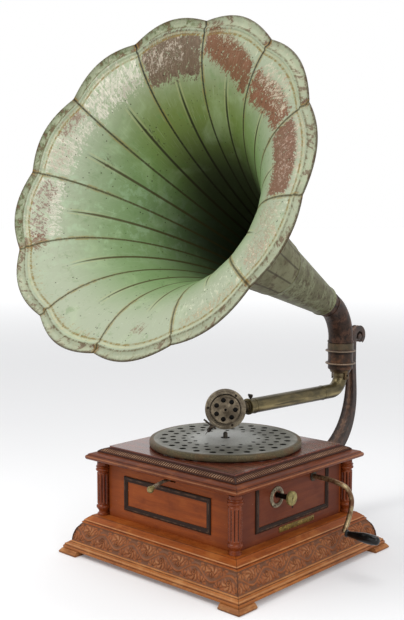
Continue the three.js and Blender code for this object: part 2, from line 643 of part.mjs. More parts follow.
function springDrive() {
  const place = barrelPlace();
  const home = group(gramophone, place.x, place.y, 0);
  const ratchetFloor = level.motorFloor + motor.plate + train.lift;
  const floor = ratchetFloor + train.thin + train.stack + ratchet.thickness / 2;
  const top = floor + barrel.height;
  const { radius, wall, lip } = barrel;
  const drum = turned([
    [lip, floor], [radius, floor], [radius, top], [lip, top], [lip, top - wall],
    [radius - wall, top - wall], [radius - wall, floor + wall], [lip, floor + wall],
  ], around.fine);
  const toPinion = wheelPlace().sub(place).angle();
  const blank = slab(toothed(train.barrelTeeth, train.slow, toPinion, 0), floor, train.face);
  const bore = rod(radius - wall / 2, floor - overrun, floor + train.face + overrun, around.fine);
  add('spring_barrel', join(drum, cut(blank, bore)), 'brass', home);

  const ribbonPoint = (share, side) => {
    const angle = share * ribbon.turns * 2 * Math.PI;
    const inner = arbor.radius + fit + ribbon.thickness;
    const outer = radius - wall - fit - ribbon.thickness;
    const reach = inner + (outer - inner) * share + side * ribbon.thickness / 2;
    return [reach * Math.cos(angle), reach * Math.sin(angle)];
  };
  const count = ribbon.turns * ribbon.steps;
  const shares = Array.from({ length: count + 1 }, (_, i) => i / count);
  const outwards = shares.map((share) => ribbonPoint(share, 1));
  const inwards = shares.reverse().map((share) => ribbonPoint(share, -1));
  const coil = outline([...outwards, ...inwards]);
  const lift = (barrel.height - ribbon.height) / 2;
  add('mainspring', slab(coil, floor + lift, ribbon.height), 'springSteel', home);

  const wheelTop = level.crank - crankPinion.teeth * contrate.outer / contrate.teeth;
  const rimLevel = wheelTop - contrate.tooth;
  const webLevel = rimLevel - contrate.web;
  const core = turned([
    [0, level.motorFloor + fit], [arbor.pivot, level.motorFloor + fit], [arbor.pivot, ratchetFloor],
    [arbor.radius, ratchetFloor], [arbor.radius, level.motorTop - motor.plate - fit],
    [arbor.pivot, level.motorTop - motor.plate - fit], [arbor.pivot, level.motorTop - fit],
    [0, level.motorTop - fit],
  ], around.coarse);
  const { reach, rise, boss, nose } = ratchet;
  const aside = Math.hypot(reach, rise);
  const facing = -Math.atan2(reach, rise);
  const deep = ratchet.radius - ratchet.notch;
  const step = (2 * Math.PI) / ratchet.teeth;
  const click = outline(Array.from({ length: ratchet.teeth }, (_, i) => {
    const root = facing + (i - clickShares.gap) * step;
    const tip = root - clickShares.face * step;
    return [[ratchet.radius * Math.cos(tip), ratchet.radius * Math.sin(tip)],
      [deep * Math.cos(root), deep * Math.sin(root)]];
  }).flat());
  add('winding_arbor', join(core, slab(click, ratchetFloor, ratchet.thickness)), 'steel', home);

  const ring = turned([
    [arbor.radius + fit, webLevel], [contrate.outer, webLevel], [contrate.outer, rimLevel],
    [arbor.radius + fit, rimLevel],
  ], around.fine);
  const pitch = 2 * Math.PI * contrate.outer / contrate.teeth;
  const toothShape = outline([
    [-pitch * crownShares.root, 0], [pitch * crownShares.root, 0],
    [pitch * crownShares.tip, contrate.tooth], [-pitch * crownShares.tip, contrate.tooth],
  ]);
  const tooth = slab(toothShape, 0, contrate.ring).rotateX(Math.PI / 2).rotateZ(Math.PI / 2)
    .translate(contrate.outer - contrate.ring - fit, 0, rimLevel - fit);
  const crown = Array.from({ length: contrate.teeth }, (_, i) => {
    const angle = (i / contrate.teeth) * 2 * Math.PI;
    return tooth.clone().rotateZ(angle);
  });
  add('winding_wheel', join(ring, ...crown), 'brass', home);

  const pivot = group(home, aside, 0, 0);
  const pawlTop = ratchetFloor + ratchet.thickness;
  const post = rod(ratchet.post, level.motorFloor + motor.plate, pawlTop + fit, around.small);
  const collarForm = rod(boss, ratchetFloor, pawlTop, around.small);
  // Each place is a distance back along the pawl and a distance out from the arbor
  const clear = ratchet.radius + fit;
  const places = [[0, clear], [nose, clear], [reach, rise - boss], [reach, rise + boss], [0, clear + nose]];
  const pawlShape = outline(places.map(([back, out]) => [
    out * Math.cos(facing) - back * Math.sin(facing) - aside,
    out * Math.sin(facing) + back * Math.cos(facing),
  ]));
  const pawl = slab(pawlShape, ratchetFloor, ratchet.thickness);
  add('ratchet_pawl', join(post, collarForm, pawl), 'steel', pivot);
}

// Intermediate wheel and pinion

function intermediate() {
  const place = wheelPlace();
  const home = group(gramophone, place.x, place.y, 0);
  const floor = level.motorFloor + motor.plate;
  const wheelFloor = floor + train.lift;
  const pinionFloor = wheelFloor + train.thin;
  const pinionTop = pinionFloor + train.stack + ratchet.thickness / 2 + train.face;
  const toBarrel = barrelPlace().sub(place).angle();
  const toSpindle = place.clone().negate().angle();
  const wheel = slab(toothed(train.wheelTeeth, train.quick, toSpindle, 0), wheelFloor, train.thin);
  const phase = toBarrel + Math.PI / train.pinionTeeth;
  const pinionShape = toothed(train.pinionTeeth, train.slow, phase, 0);
  const pinion = slab(pinionShape, pinionFloor - fit, pinionTop - pinionFloor + fit);
  const axle = turned([
    [0, level.motorFloor + fit], [spindle.foot, level.motorFloor + fit], [spindle.foot, floor + fit],
    [spindle.radius, floor + fit], [spindle.radius, level.motorTop - motor.plate - fit],
    [spindle.foot, level.motorTop - motor.plate - fit], [spindle.foot, level.motorTop - fit],
    [0, level.motorTop - fit],
  ], around.small);
  add('intermediate_wheel', join(wheel, pinion, axle), 'brass', home);
}

// Governor: worm shaft, friction disc and three weights on bowed leaf springs

function governorPieces() {
  const home = group(gramophone, 0, -wormGap(), level.governor);
  const { shaft, collar: sleeveRadius, collarLength, springFrom, span } = governor;
  const end = springFrom + span;
  const lobes = outline(Array.from({ length: around.small }, (_, i) => {
    const angle = (i / around.small) * 2 * Math.PI;
    const swell = Math.max(0, Math.cos(angle * worm.starts));
    const reach = worm.root + (worm.tip - worm.root) * swell;
    return [reach * Math.cos(angle), reach * Math.sin(angle)];
  }));
  const thread = twisted(slab(lobes, -worm.half, 2 * worm.half, around.small), wormLead(), 0);
  const spine = turned([
    [0, -worm.half - governor.tail], [shaft, -worm.half - governor.tail],
    [shaft, springFrom - collarLength], [sleeveRadius, springFrom - collarLength],
    [sleeveRadius, springFrom], [shaft, springFrom], [shaft, end + collarLength + governor.tail],
    [0, end + collarLength + governor.tail],
  ], around.small);
  add('governor_shaft', along(join(thread, spine), 'x'), 'steel', home);
  const discEnd = end + collarLength;
  const discFace = discEnd - governor.discThickness;
  const disc = turned([
    [shaft + fit, end], [sleeveRadius, end], [sleeveRadius, discFace], [governor.disc, discFace],
    [governor.disc, discEnd], [shaft + fit, discEnd],
  ], around.round);
  add('governor_disc', along(disc, 'x'), 'brass', home);
  const leafFrom = springFrom - collarLength;
  const leafLength = span + governor.springTail;
  const line = (side) => leafShares.steps.map((share, k) => [
    leafFrom + share * leafLength,
    sleeveRadius + fit + leafShares.bows[k] * governor.bow + side * governor.leafThickness,
  ]);
  const leaf = slab(outline([...line(0), ...line(1).reverse()]), -governor.leaf / 2, governor.leaf);
  const bobFrom = leafFrom + (leafLength - governor.weightLength) / 2;
  const bobCentre = sleeveRadius + fit + governor.bow + governor.leafThickness + governor.weight / 2;
  const bob = along(rod(governor.weight, bobFrom, bobFrom + governor.weightLength, around.small), 'x')
    .translate(0, bobCentre, 0);
  const weight = join(leaf, bob);
  const numbers = [1, 2, 3];
  numbers.forEach((number) => {
    const angle = (number / numbers.length) * 2 * Math.PI;
    add(`governor_weight_${number}`, weight.clone().rotateX(angle), 'brass', home);
  });
}

// Motor plates: the upper one hangs from the board, the lower one carries the posts and bearings

const platesReach = () => {
  const place = barrelPlace();
  const gear = (train.barrelTeeth * train.slow) / 2 + train.slow;
  const wheelReach = (train.wheelTeeth * train.quick) / 2 + train.quick;
  return {
    x0: wheelPlace().x - wheelReach - motor.border, x1: place.x + gear + motor.border,
    y0: -wormGap() - governor.disc - motor.apron, y1: place.y + gear + motor.border,
  };
};

function motorPlates() {
  const { x0, x1, y0, y1 } = platesReach();
  const [low, high] = [level.motorFloor, level.motorTop];
  const inset = motor.post + motor.plate / 2;
  const corners = [x0 + inset, x1 - inset].flatMap((x) => [[x, y0 + inset], [x, y1 - inset]]);
  const hole = (radius, x, y, z) => {
    const drill = rod(radius, z - overrun, z + motor.plate + overrun, around.coarse);
    return drill.translate(x, y, 0);
  };
  const [b, w] = [barrelPlace(), wheelPlace()];
  const upper = block(x0, x1, y0, y1, high - motor.plate, high);
  const postsBetween = (z0, z1) => corners.map(([x, y]) => (
    rod(motor.post, z0, z1, around.small).translate(x, y, 0)
  ));
  const hangers = postsBetween(high - fit, level.board);
  const bearingX = b.x + contrate.outer + crank.hold + crankPinion.face;
  const bearingEnd = bearingX + crank.hold;
  const lugHalf = 2 * crank.rod;
  const lug = block(
    bearingX, bearingEnd, crank.along - lugHalf, crank.along + lugHalf,
    level.crank - lugHalf, high - fit,
  );
  const upperBody = join(upper, lug, ...hangers);
  const shaftDrill = rod(crank.rod + fit, bearingX - overrun, bearingEnd + overrun, around.coarse);
  const shaftHole = along(shaftDrill, 'x').translate(0, crank.along, level.crank);
  add('motor_top_plate', cut(
    upperBody, shaftHole, hole(spindle.radius + fit, 0, 0, high - motor.plate),
    hole(spindle.foot + fit, w.x, w.y, high - motor.plate),
    hole(arbor.pivot + fit, b.x, b.y, high - motor.plate),
  ), 'steel');

  const lower = block(x0, x1, y0, y1, low, low + motor.plate);
  const posts = postsBetween(low + fit, high - motor.plate);
  const lineY = -wormGap();
  const lineZ = level.governor;
  const end = governor.springFrom + governor.span + governor.collarLength;
  const stand = (from) => block(
    from, from + governor.bearing, lineY - governor.bearing, lineY + governor.bearing,
    low + fit, lineZ + governor.bearing,
  );
  const leftStand = -worm.half - fit - governor.bearing;
  const rightStand = end + governor.tail - governor.bearing + fit;
  const farEnd = rightStand + governor.bearing + overrun;
  const lineDrill = rod(governor.shaft + fit, leftStand - overrun, farEnd, around.small);
  const lineHole = along(lineDrill, 'x').translate(0, lineY, lineZ);
  const lowerBody = cut(join(lower, stand(leftStand), stand(rightStand)), lineHole);
  add('motor_bottom_plate', cut(
    join(lowerBody, ...posts),
    hole(spindle.foot + fit, 0, 0, low), hole(spindle.foot + fit, w.x, w.y, low),
    hole(arbor.pivot + fit, b.x, b.y, low),
  ), 'steel');
}

// Winding crank with its turned handle

function crankPieces() {
  const face = cabinet.wallHalf;
  const home = group(gramophone, 0, crank.along, level.crank);
  const bushBore = crank.rod + 2 * fit;
  const bushEdge = crank.bushThickness / 2;
  const bushRing = turned([
    [bushBore, 0], [crank.bush, 0], [crank.bush, bushEdge], [bushBore + bushEdge, crank.bushThickness],
    [bushBore, crank.bushThickness],
  ], around.coarse);
  add('crank_bush', along(bushRing, 'x').translate(face, crank.along, level.crank), 'brass');
  const start = barrelPlace().x + contrate.outer - contrate.ring * 2;
  const way = crankRoute;
  const knee = new THREE.CatmullRomCurve3([
    spot(face + way.run, 0, -way.runDrop), spot(face + way.out, way.kneeIn, -way.kneeDrop),
    spot(face + way.out + way.bowOut, way.bowIn, -way.bowDrop),
    spot(face + way.out, way.backIn, -way.backDrop), spot(face + way.out, -way.aside, -way.drop),
  ]);
  const mouth = spot(face, 0, 0);
  const pieces = [straight(spot(start, 0, 0), mouth), straight(mouth, knee.points[0]), knee];
  const rodForm = tube(new Route(pieces, crankRoute.steps), crank.rod, 0, around.small);
  const outer = face + way.out;
  const pinionX = barrelPlace().x + contrate.outer - (contrate.ring + crankPinion.face) / 2;
  const module = 2 * contrate.outer / contrate.teeth;
  const pinionShape = toothed(crankPinion.teeth, module, Math.PI / crankPinion.teeth, 0);
  const pinion = along(slab(pinionShape, 0, crankPinion.face), 'x').translate(pinionX, 0, 0);
  const pinEnd = outer + crank.rod + grip.length - grip.end;
  const pinForm = rod(grip.neck / 2, outer, pinEnd, around.small);
  const pin = along(pinForm, 'x').translate(0, -way.aside, -way.drop);
  add('crank_rod', join(rodForm, pinion, pin), 'steel', home);
  const from = outer + crank.rod + fit;
  const bore = grip.neck / 2 + fit;
  const end = from + grip.length;
  const boreEnd = end - grip.end + fit;
  const handle = turned([
    [bore, from], [grip.neck, from], [grip.neck * gripShares.ring, from + grip.start],
    [grip.neck, from + 2 * grip.start],
    [grip.swell * gripShares.waist, from + grip.length * gripShares.low],
    [grip.swell, from + grip.length * gripShares.high], [grip.end, end - grip.start],
    [grip.end / 2, end], [0, end], [0, boreEnd], [bore, boreEnd],
  ], around.coarse);
  add('crank_handle', along(handle, 'x').translate(0, -way.aside, -way.drop), 'blackWood', home);
}

// Speed knob, its rose, and the lever that leans a pad on the governor disc

function speedPieces() {
  const face = cabinet.wallHalf;
  const z = level.knob;
  const ringForm = ringRod(rose.outer, rose.inner, face, face + rose.thickness, around.fine);
  add('speed_rose', along(ringForm, 'x').translate(0, knob.along, z), 'agedBrass');
  const lineX = governor.springFrom + governor.span + governor.collarLength;
  const pivotX = lineX + padLever.pivotOut;
  const pivotY = -wormGap() - padLever.pivotBack;
  const stemEnd = pivotX + padLever.thickness * 2;
  const out = face + knob.out;
  const inner = face - cabinet.wall;
  const front = out + knob.thickness;
  const dimpleFloor = out + knob.thickness / 2;
  const knobForm = turned([
    [0, stemEnd], [knob.stem / 2, stemEnd], [knob.stem / 2, inner - overrun], [knob.stem, inner - fit],
    [knob.stem, out], [knob.radius, out], [knob.radius, front], [knob.dimple, front],
    [knob.dimple, dimpleFloor], [0, dimpleFloor],
  ], around.round);
  add('speed_knob', along(knobForm, 'x').translate(0, knob.along, z), 'brass');
  const home = group(gramophone, pivotX, pivotY, 0);
  const floor = level.motorFloor + motor.plate;
  const lineZ = level.governor;
  const { post, thickness, pad, padLength, arm: half } = padLever;
  const postForm = rod(post, floor, lineZ + half, around.small);
  const padX = lineX - pivotX + fit;
  const padY = padLever.pivotBack - governor.disc * padShare;
  const padBack = padX + padLength;
  const armShape = outline([
    [post, -post], [post, post], [padBack + thickness, padY + thickness], [padBack, padY + thickness],
    [padBack, padY - thickness], [-post, -post],
  ]);
  const padRod = rod(pad, padX, padBack + thickness / 2, around.small);
  const padForm = along(padRod, 'x').translate(0, padY, lineZ);
  const reachY = knob.along - pivotY;
  const bladeX = stemEnd - padLever.travel - pivotX - thickness;
  const low = lineZ - half / 2;
  const [bladeNear, bladeFar] = [Math.min(reachY, 0) - half, Math.max(reachY, 0) + half];
  const blade = block(bladeX, bladeX + thickness, bladeNear, bladeFar, low, z + half);
  const root = block(-post / 2, bladeX + thickness / 2, -half / 2, half / 2, low, lineZ + half / 2);
  add('speed_lever', join(postForm, slab(armShape, low, half), padForm, blade, root), 'steel', home);
}

// Brake: a lever through the front slot turns a stem that swings a pad to the turntable's rim

function brakePieces() {
  const home = group(gramophone, brake.aside, brakeBack(), 0);
  const slotLevel = level.cornice - brake.below - brake.slotHeight / 2;
  const top = level.deck + platter.clearance + brake.armThickness / 2;
  const stem = rod(brake.stem, slotLevel - brake.stem, top + brake.armThickness, around.small);
  const reach = cabinet.wallHalf + brakeBack();
  const outerEnd = -(reach + brake.out);
  const bendAt = spot(0, -reach - brake.out * droopShare, slotLevel);
  const end = spot(0, outerEnd, slotLevel - brake.droop);
  const rodRoute = new Route([straight(spot(0, 0, slotLevel), bendAt), straight(bendAt, end)], 1);
  const rodForm = tube(rodRoute, brake.rod, 0, around.small);
  const acorn = turned([
    [0, 0], [brake.rod, 0], [brake.knob, brake.knobLength * acornShares.near],
    [brake.knob, brake.knobLength * acornShares.far], [0, brake.knobLength],
  ], around.small).rotateX(Math.PI / 2).translate(0, outerEnd + brake.rod, slotLevel - brake.droop);
  // The skirt's flat faces come in this far as the turntable turns
  const flat = (platter.radius - platter.skirt) * Math.cos(Math.PI / around.rim);
  const padCentre = padSpot(flat - fit - brake.pad / 2);
  const local = [padCentre.x - brake.aside, padCentre.y - brakeBack()];
  const angle = Math.atan2(local[1], local[0]);
  const length = Math.hypot(local[0], local[1]);
  const armHalf = brake.armWidth / 2;
  const armTop = top + brake.armThickness;
  const armForm = block(-brake.stem, length - brake.pad, -armHalf, armHalf, top, armTop).rotateZ(angle);
  const turn = Math.atan2(padCentre.y, padCentre.x);
  const spanHalf = brake.padSpan / 2;
  const shoe = common(
    ringRod(flat - fit, flat - fit - brake.pad, top, armTop, around.rim),
    block(0, platter.radius, -spanHalf, spanHalf, top - overrun, top + overrun).rotateZ(turn),
  ).translate(-brake.aside, -brakeBack(), 0);
  add('brake_lever', join(stem, rodForm, acorn, armForm, shoe), 'steel', home);
}

// The place on a circle round the spindle that the brake's arm reaches
function padSpot(radius) {
  const pivot = new THREE.Vector2(brake.aside, brakeBack());
  const span = pivot.length();
  const cosine = (radius ** 2 + span ** 2 - brake.arm ** 2) / (2 * radius * span);
  const angle = pivot.angle() + Math.acos(Math.min(1, cosine));
  return new THREE.Vector2(radius * Math.cos(angle), radius * Math.sin(angle));
}

// Cast bracket behind the cabinet, ending in a scroll, and the collar that it holds

const headInner = () => cabinet.wallHalf + bracket.back - bracket.headThickness / 2;
const standY = () => headInner() - collar.flange - collar.behind;

function bracketPieces() {
  const wallY = cabinet.wallHalf;
  const headY = wallY + bracket.back;
  const footZ = level.wall + bracket.footRise;
  const headZ = level.collarTop + bracket.above;
  const shares = bracketShares;
  const curve = new THREE.CubicBezierCurve(
    new THREE.Vector2(wallY + bracket.plateThickness / 2, footZ),
    new THREE.Vector2(wallY + bracket.back * shares.out, footZ - bracket.footThickness * shares.dip),
    new THREE.Vector2(headY, footZ + bracket.back * shares.low),
    new THREE.Vector2(headY, footZ + bracket.back * shares.high),
  );
  const rises = around.coarse;
  const line = curve.getPoints(rises);
  line.push(new THREE.Vector2(headY, level.collarTop), new THREE.Vector2(headY, headZ));
  const hub = new THREE.Vector2(headY + bracket.scroll, headZ);
  const curls = around.coarse;
  for (let i = 1; i <= curls; i += 1) {
    const angle = Math.PI * (1 - scrollShares.turn * (i / curls));
    const reach = bracket.scroll * (1 - scrollShares.tighten * (i / curls));
    line.push(new THREE.Vector2(hub.x + reach * Math.cos(angle), hub.y + reach * Math.sin(angle)));
  }
  const halves = line.map((_, i) => {
    const share = Math.min(1, i / rises);
    const tail = Math.max(0, (i - (line.length - 1 - curls)) / curls);
    const body = bracket.footThickness + (bracket.headThickness - bracket.footThickness) * share;
    return (body + (bracket.scrollEnd - bracket.headThickness) * tail) / 2;
  });
  const side = (sign) => line.map((spot, i) => {
    const before = line[Math.max(0, i - 1)];
    const after = line[Math.min(line.length - 1, i + 1)];
    const way = after.clone().sub(before).normalize();
    return [spot.x - sign * way.y * halves[i], spot.y + sign * way.x * halves[i]];
  });
  const profile = outline([...side(1), ...side(-1).reverse()]);
  const form = slab(profile, -bracket.footWidth / 2, bracket.footWidth);
  form.applyMatrix4(new THREE.Matrix4().makeBasis(spot(0, 1, 0), spot(0, 0, 1), spot(1, 0, 0)));
  const place = form.getAttribute('position');
  for (let i = 0; i < place.count; i += 1) {
    const climb = Math.min(1, Math.max(0, (place.getZ(i) - footZ) / (headZ - footZ)));
    const share = 1 - (1 - bracket.headWidth / bracket.footWidth) * Math.min(1, climb * shares.taper);
    place.setX(i, place.getX(i) * share);
  }
  const plateLow = level.wall + bracket.plateRise;
  const backPlate = block(
    -bracket.plateWidth / 2, bracket.plateWidth / 2, wallY, wallY + bracket.plateThickness,
    plateLow, plateLow + bracket.plateHeight,
  );
  add('horn_bracket', join(form, backPlate), 'castIron');

  const y = standY();
  const { under, flange, waist, top, ledge: shelf, bore, bead, lug } = collar;
  const { collar: below, flangeLow, flangeHigh, collarTop: above, seat } = level;
  const ring = turned([
    [shelf, below], [under, below], [under, flangeLow - bead], [flange, flangeLow - bead / 2],
    [flange, flangeLow + bead / 2], [waist, flangeLow + bead], [waist, flangeHigh - bead],
    [flange, flangeHigh - bead / 2], [flange, flangeHigh + bead / 2], [top, flangeHigh + bead],
    [top, above], [bore, above], [bore, seat], [shelf, seat],
  ], around.fine);
  const ear = cut(
    block(-lug / 2, lug / 2, waist - bead, headInner() - y, flangeLow, flangeHigh),
    rod(bore + bead / 2, below, above, around.fine),
  );
  add('bracket_collar', join(ring, ear).translate(0, y, 0), 'castIron');
}

// Tone arm: a sleeve that turns in the collar, and the arm that tilts in it on a ball

function toneArm() {
  const home = group(gramophone, 0, standY(), 0, -arm.swingAngle * degree);
  const flangeFloor = level.seat + fit;
  const ringTop = level.collar - fit;
  const ringFloor = ringTop - sleeve.ringThickness;
  const earFloor = level.ball - sleeve.earDrop;
  const { bore, ear, ring, tube: neck, flange, throat } = sleeve;
  const flangeTop = flangeFloor + sleeve.flangeThickness;
  const body = turned([
    [bore, earFloor], [ear, earFloor], [ear, ringFloor], [ring, ringFloor], [ring, ringTop],
    [neck, ringTop], [neck, flangeFloor], [flange, flangeFloor], [flange, flangeTop], [throat, flangeTop],
    [throat, level.ball + arm.ball + 2 * fit], [bore, level.ball + arm.ball * ballShare],
  ], around.fine);
  const wide = sleeve.flange + overrun;
  const away = (sign) => {
    const [y0, y1] = [sign * sleeve.earWidth / 2, sign * wide].sort((a, b) => a - b);
    return block(-wide, wide, y0, y1, earFloor - overrun, ringFloor);
  };
  const pinHole = along(rod(sleeve.pin + fit, -wide, wide, around.small), 'x').translate(0, 0, level.ball);
  add('tonearm_sleeve', cut(body, away(1), away(-1), pinHole), 'brass', home);

  const { radius, wall, ball, drop, length } = arm;
  const { ball: top, arm: line } = level;
  const [down, ahead] = [spot(0, 0, -1), spot(0, -1, 0)];
  const curve = bend(spot(0, 0, line), down, ahead, drop - fit);
  const pieces = [straight(spot(0, 0, top), curve.v0), curve, straight(curve.v3, spot(0, -length, line))];
  const route = new Route(pieces, bendSteps);
  const outer = tube(route, radius, 0, around.round);
  const inner = tube(route, radius - wall, 0, around.round);
  const sphere = (size, sides) => new THREE.SphereGeometry(size, sides, around.small)
    .rotateX(Math.PI / 2).translate(0, 0, top);
  const knuckle = sphere(ball, around.round);
  const hollow = sphere(ball - wall, around.coarse);
  const mouth = rod(arm.mouth, top, top + ball + overrun, around.coarse);
  const mouthDrill = rod(radius - wall, -overrun, overrun, around.round);
  const endDrill = along(mouthDrill, 'y').translate(0, -length, line);
  const pinReach = sleeve.ear - fit;
  const pins = along(rod(sleeve.pin, -pinReach, pinReach, around.small), 'x').translate(0, 0, top);
  const stubs = cut(pins, rod(ball - wall / 2, top - ball, top + ball, around.coarse));
  const shell = cut(join(outer, knuckle), inner, hollow, mouth, endDrill);
  const screwHole = rod(thumb.stem + fit, line, line + radius + overrun, around.small)
    .translate(0, -length + thumb.inset, 0);
  const [pinLeft, pinRight] = solid(stubs).decompose().map(surface);
  add('tonearm_tube', cut(join(shell, pinLeft, pinRight), screwHole), 'brass', home);

  const wingBase = line + radius + thumb.stem;
  const wingFloor = wingBase + thumb.stem;
  const screw = rod(thumb.stem, line + boxNeck.radius + 2 * fit, wingFloor, around.small);
  const head = rod(thumb.wing, wingBase, wingBase + thumb.thickness, around.small);
  const [halfLength, halfThickness] = [thumb.length / 2, thumb.thickness / 2];
  const wing = block(
    -halfLength, halfLength, -halfThickness, halfThickness, wingFloor, wingFloor + thumb.wing,
  );
  add('thumb_screw', join(screw, head, wing).translate(0, -length + thumb.inset, 0), 'steel', home);
  return home;
}

// Sound box on its curved neck; its own frame has +Z out of the guard and +Y up

function soundBox(armGroup) {
  const line = level.arm;
  const turn = box.turnAngle * degree;
  const normal = new THREE.Vector3(Math.sin(turn), -Math.cos(turn), 0);
  const centre = new THREE.Vector3(box.aside, -arm.length - box.beyond, line + box.radius - box.hang);
  const backSpot = centre.clone().addScaledVector(normal, -box.thickness);
  const from = spot(0, boxNeck.grip - arm.length, line);
  const leave = spot(0, -arm.length, line);
  const curve = new THREE.CubicBezierCurve3(
    leave, spot(0, -arm.length - boxNeck.handle, line),
    backSpot.clone().addScaledVector(normal, -boxNeck.grip), backSpot,
  );
  const route = new Route([straight(from, leave), curve], neckSteps);
  const outer = tube(route, boxNeck.radius, 0, around.coarse);
  const bore = boxNeck.radius - boxNeck.wall;
  const inner = tube(route, bore, 0, around.coarse);
  const ringForm = ringRod(boxNeck.collar, bore + boxNeck.wall / 2, 0, boxNeck.collarLength, around.coarse);
  const ring = along(ringForm, 'y').rotateZ(Math.PI).translate(0, -arm.length - fit, line);
  const openStart = along(rod(bore, -overrun, overrun, around.coarse), 'y').translate(0, from.y, line);
  const head = group(armGroup, centre.x, centre.y, centre.z);
  const across = spot(Math.cos(turn), Math.sin(turn), 0);
  head.quaternion.setFromRotationMatrix(new THREE.Matrix4().makeBasis(across, spot(0, 0, 1), normal));
  head.updateMatrix();
  const openEnd = rod(bore, -box.thickness - overrun, -box.thickness + overrun, around.coarse)
    .applyMatrix4(head.matrix);
  const shy = rod(box.radius, -box.thickness - fit, overrun, around.round).applyMatrix4(head.matrix);
  const bare = cut(join(outer, ring), inner, openStart, openEnd);
  add('soundbox_neck', cut(bare, shy), 'brass', armGroup);

  const { radius, thickness, flange, guard, guardRise, plate: sheet, hollow } = box;
  const seatLevel = -flange;
  const innerFloor = -thickness + 2 * flange;
  const bodyForm = turned([
    [bore, -thickness], [box.back, -thickness], [radius * backShare, -thickness + flange],
    [radius, seatLevel - flange], [radius, 0], [hollow + sheet, 0], [hollow + sheet, seatLevel],
    [hollow - flange, seatLevel], [hollow - flange, innerFloor], [bore, innerFloor],
  ], around.fine);
  const screws = boxScrewAngles.map((angle) => {
    const [x, y] = [box.screwRing * Math.cos(angle * degree), box.screwRing * Math.sin(angle * degree)];
    return rod(stylus.screw, -fit, sheet, around.small).translate(x, y, 0);
  });
  add('soundbox_body', join(bodyForm, ...screws), 'agedBrass', head);
  add('diaphragm', rod(hollow, seatLevel, seatLevel + sheet / 2, around.round), 'mica', head);
  const face = guardRise;
  const capFloor = seatLevel + sheet / 2;
  const cap = turned([
    [guard - sheet, capFloor], [guard, capFloor], [guard, face - sheet], [guard - sheet, face],
    [box.boss + sheet, face], [box.boss, face + sheet], [0, face + sheet], [0, face - sheet],
    [guard - sheet, face - sheet],
  ], around.round);
  const punches = Array.from({ length: box.holes }, (_, i) => {
    const angle = (i / box.holes) * 2 * Math.PI;
    return rod(box.hole, face - 2 * sheet, face + sheet, around.hole * 2)
      .translate(box.ring * Math.cos(angle), box.ring * Math.sin(angle), 0);
  });
  const eye = rod(box.eye, face - 2 * sheet, face + 2 * sheet, around.small);
  add('soundbox_guard', cut(cap, ...punches, eye), 'agedBrass', head);

  const needleGroup = new THREE.Group();
  needleGroup.rotation.z = stylus.angle * degree;
  head.add(needleGroup);
  const edge = radius + fit;
  const bar = block(edge, edge + stylus.bar, -stylus.barUp, stylus.barDown, -flange, sheet);
  const chuckEnd = edge + stylus.bar + stylus.chuckLength;
  const chuckForm = rod(stylus.chuck, edge + stylus.bar / 2, chuckEnd, around.small);
  const chuck = along(chuckForm, 'x').translate(0, 0, -flange / 2);
  const screwForm = rod(stylus.screw, -flange / 2, stylus.screwLength, around.small)
    .translate(edge + stylus.bar + stylus.chuckLength * chuckShare, 0, 0);
  const needleTip = (centre.z - level.turntable - stylus.above) / Math.sin(-stylus.angle * degree);
  const socketForm = rod(stylus.needle + fit, edge + stylus.bar, chuckEnd + overrun, around.small);
  const socket = along(socketForm, 'x').translate(0, 0, -flange / 2);
  add('needle_bar', cut(join(bar, chuck, screwForm), socket), 'steel', needleGroup);
  const shank = edge + stylus.bar + fit;
  const needleForm = turned([
    [0, shank], [stylus.needle, shank], [stylus.needle, needleTip - stylus.taper],
    [stylus.needle * tipShare, needleTip], [0, needleTip],
  ], around.small);
  add('needle', along(needleForm, 'x').translate(0, 0, -flange / 2), 'steel', needleGroup);
}

// Horn: an elbow that turns in the collar, a conical neck and a bell of folded petals

function hornPieces() {
  const home = group(gramophone, 0, standY(), 0, horn.turnAngle * degree);
  const tilt = horn.tiltAngle * degree;
  const way = spot(0, -Math.cos(tilt), Math.sin(tilt));
  const corner = spot(0, 0, level.horn);
  const up = spot(0, 0, 1);
  const footZ = level.collarTop + fit;
  const curve = bend(corner, up, way, elbow.bend);
  const tip = corner.clone().addScaledVector(way, elbow.reach);
  const pieces = [straight(spot(0, 0, footZ), curve.v0), curve, straight(curve.v3, tip)];
  const route = new Route(pieces, bendSteps);
  const { radius, wall, rib } = elbow;
  const bore = radius - wall;
  const pipe = tube(route, radius, bore, around.round);
  const spigotRadius = collar.bore - 2 * fit;
  const spigotFloor = footZ - elbow.spigot;
  const ribTop = footZ + elbow.ribHeight;
  const spigot = turned([
    [bore - rib, spigotFloor], [spigotRadius, spigotFloor], [spigotRadius, footZ], [radius + rib, footZ],
    [radius + rib, ribTop], [radius - wall / 2, ribTop], [bore - rib, footZ + wall],
  ], around.round);
  const tilted = new THREE.Group();
  tilted.position.copy(corner);
  tilted.quaternion.setFromUnitVectors(up, way);
  tilted.updateMatrix();
  home.add(tilted);
  const { neckStart, neckEnd, smallRadius, neckRadius, sheet, band, bandWidth } = horn;
  // The neck sits on this ring of the elbow
  const ferruleRadius = smallRadius - sheet - fit;
  const bandEnd = neckStart + bandWidth;
  const ferrule = ringRod(ferruleRadius, radius - wall / 2, neckStart, bandEnd, around.fine)
    .applyMatrix4(tilted.matrix);
  add('horn_elbow', join(pipe, spigot, ferrule), 'brownPaint', home);
  const neck = turned([
    [smallRadius - sheet, neckStart], [smallRadius + band, neckStart], [smallRadius + band, bandEnd],
    [smallRadius, bandEnd], [neckRadius, neckEnd], [neckRadius - sheet, neckEnd],
  ], around.fine);
  add('horn_neck', neck, 'greenPaint', tilted);
  add('horn_bell', bell(), 'greenPaint', tilted);
}

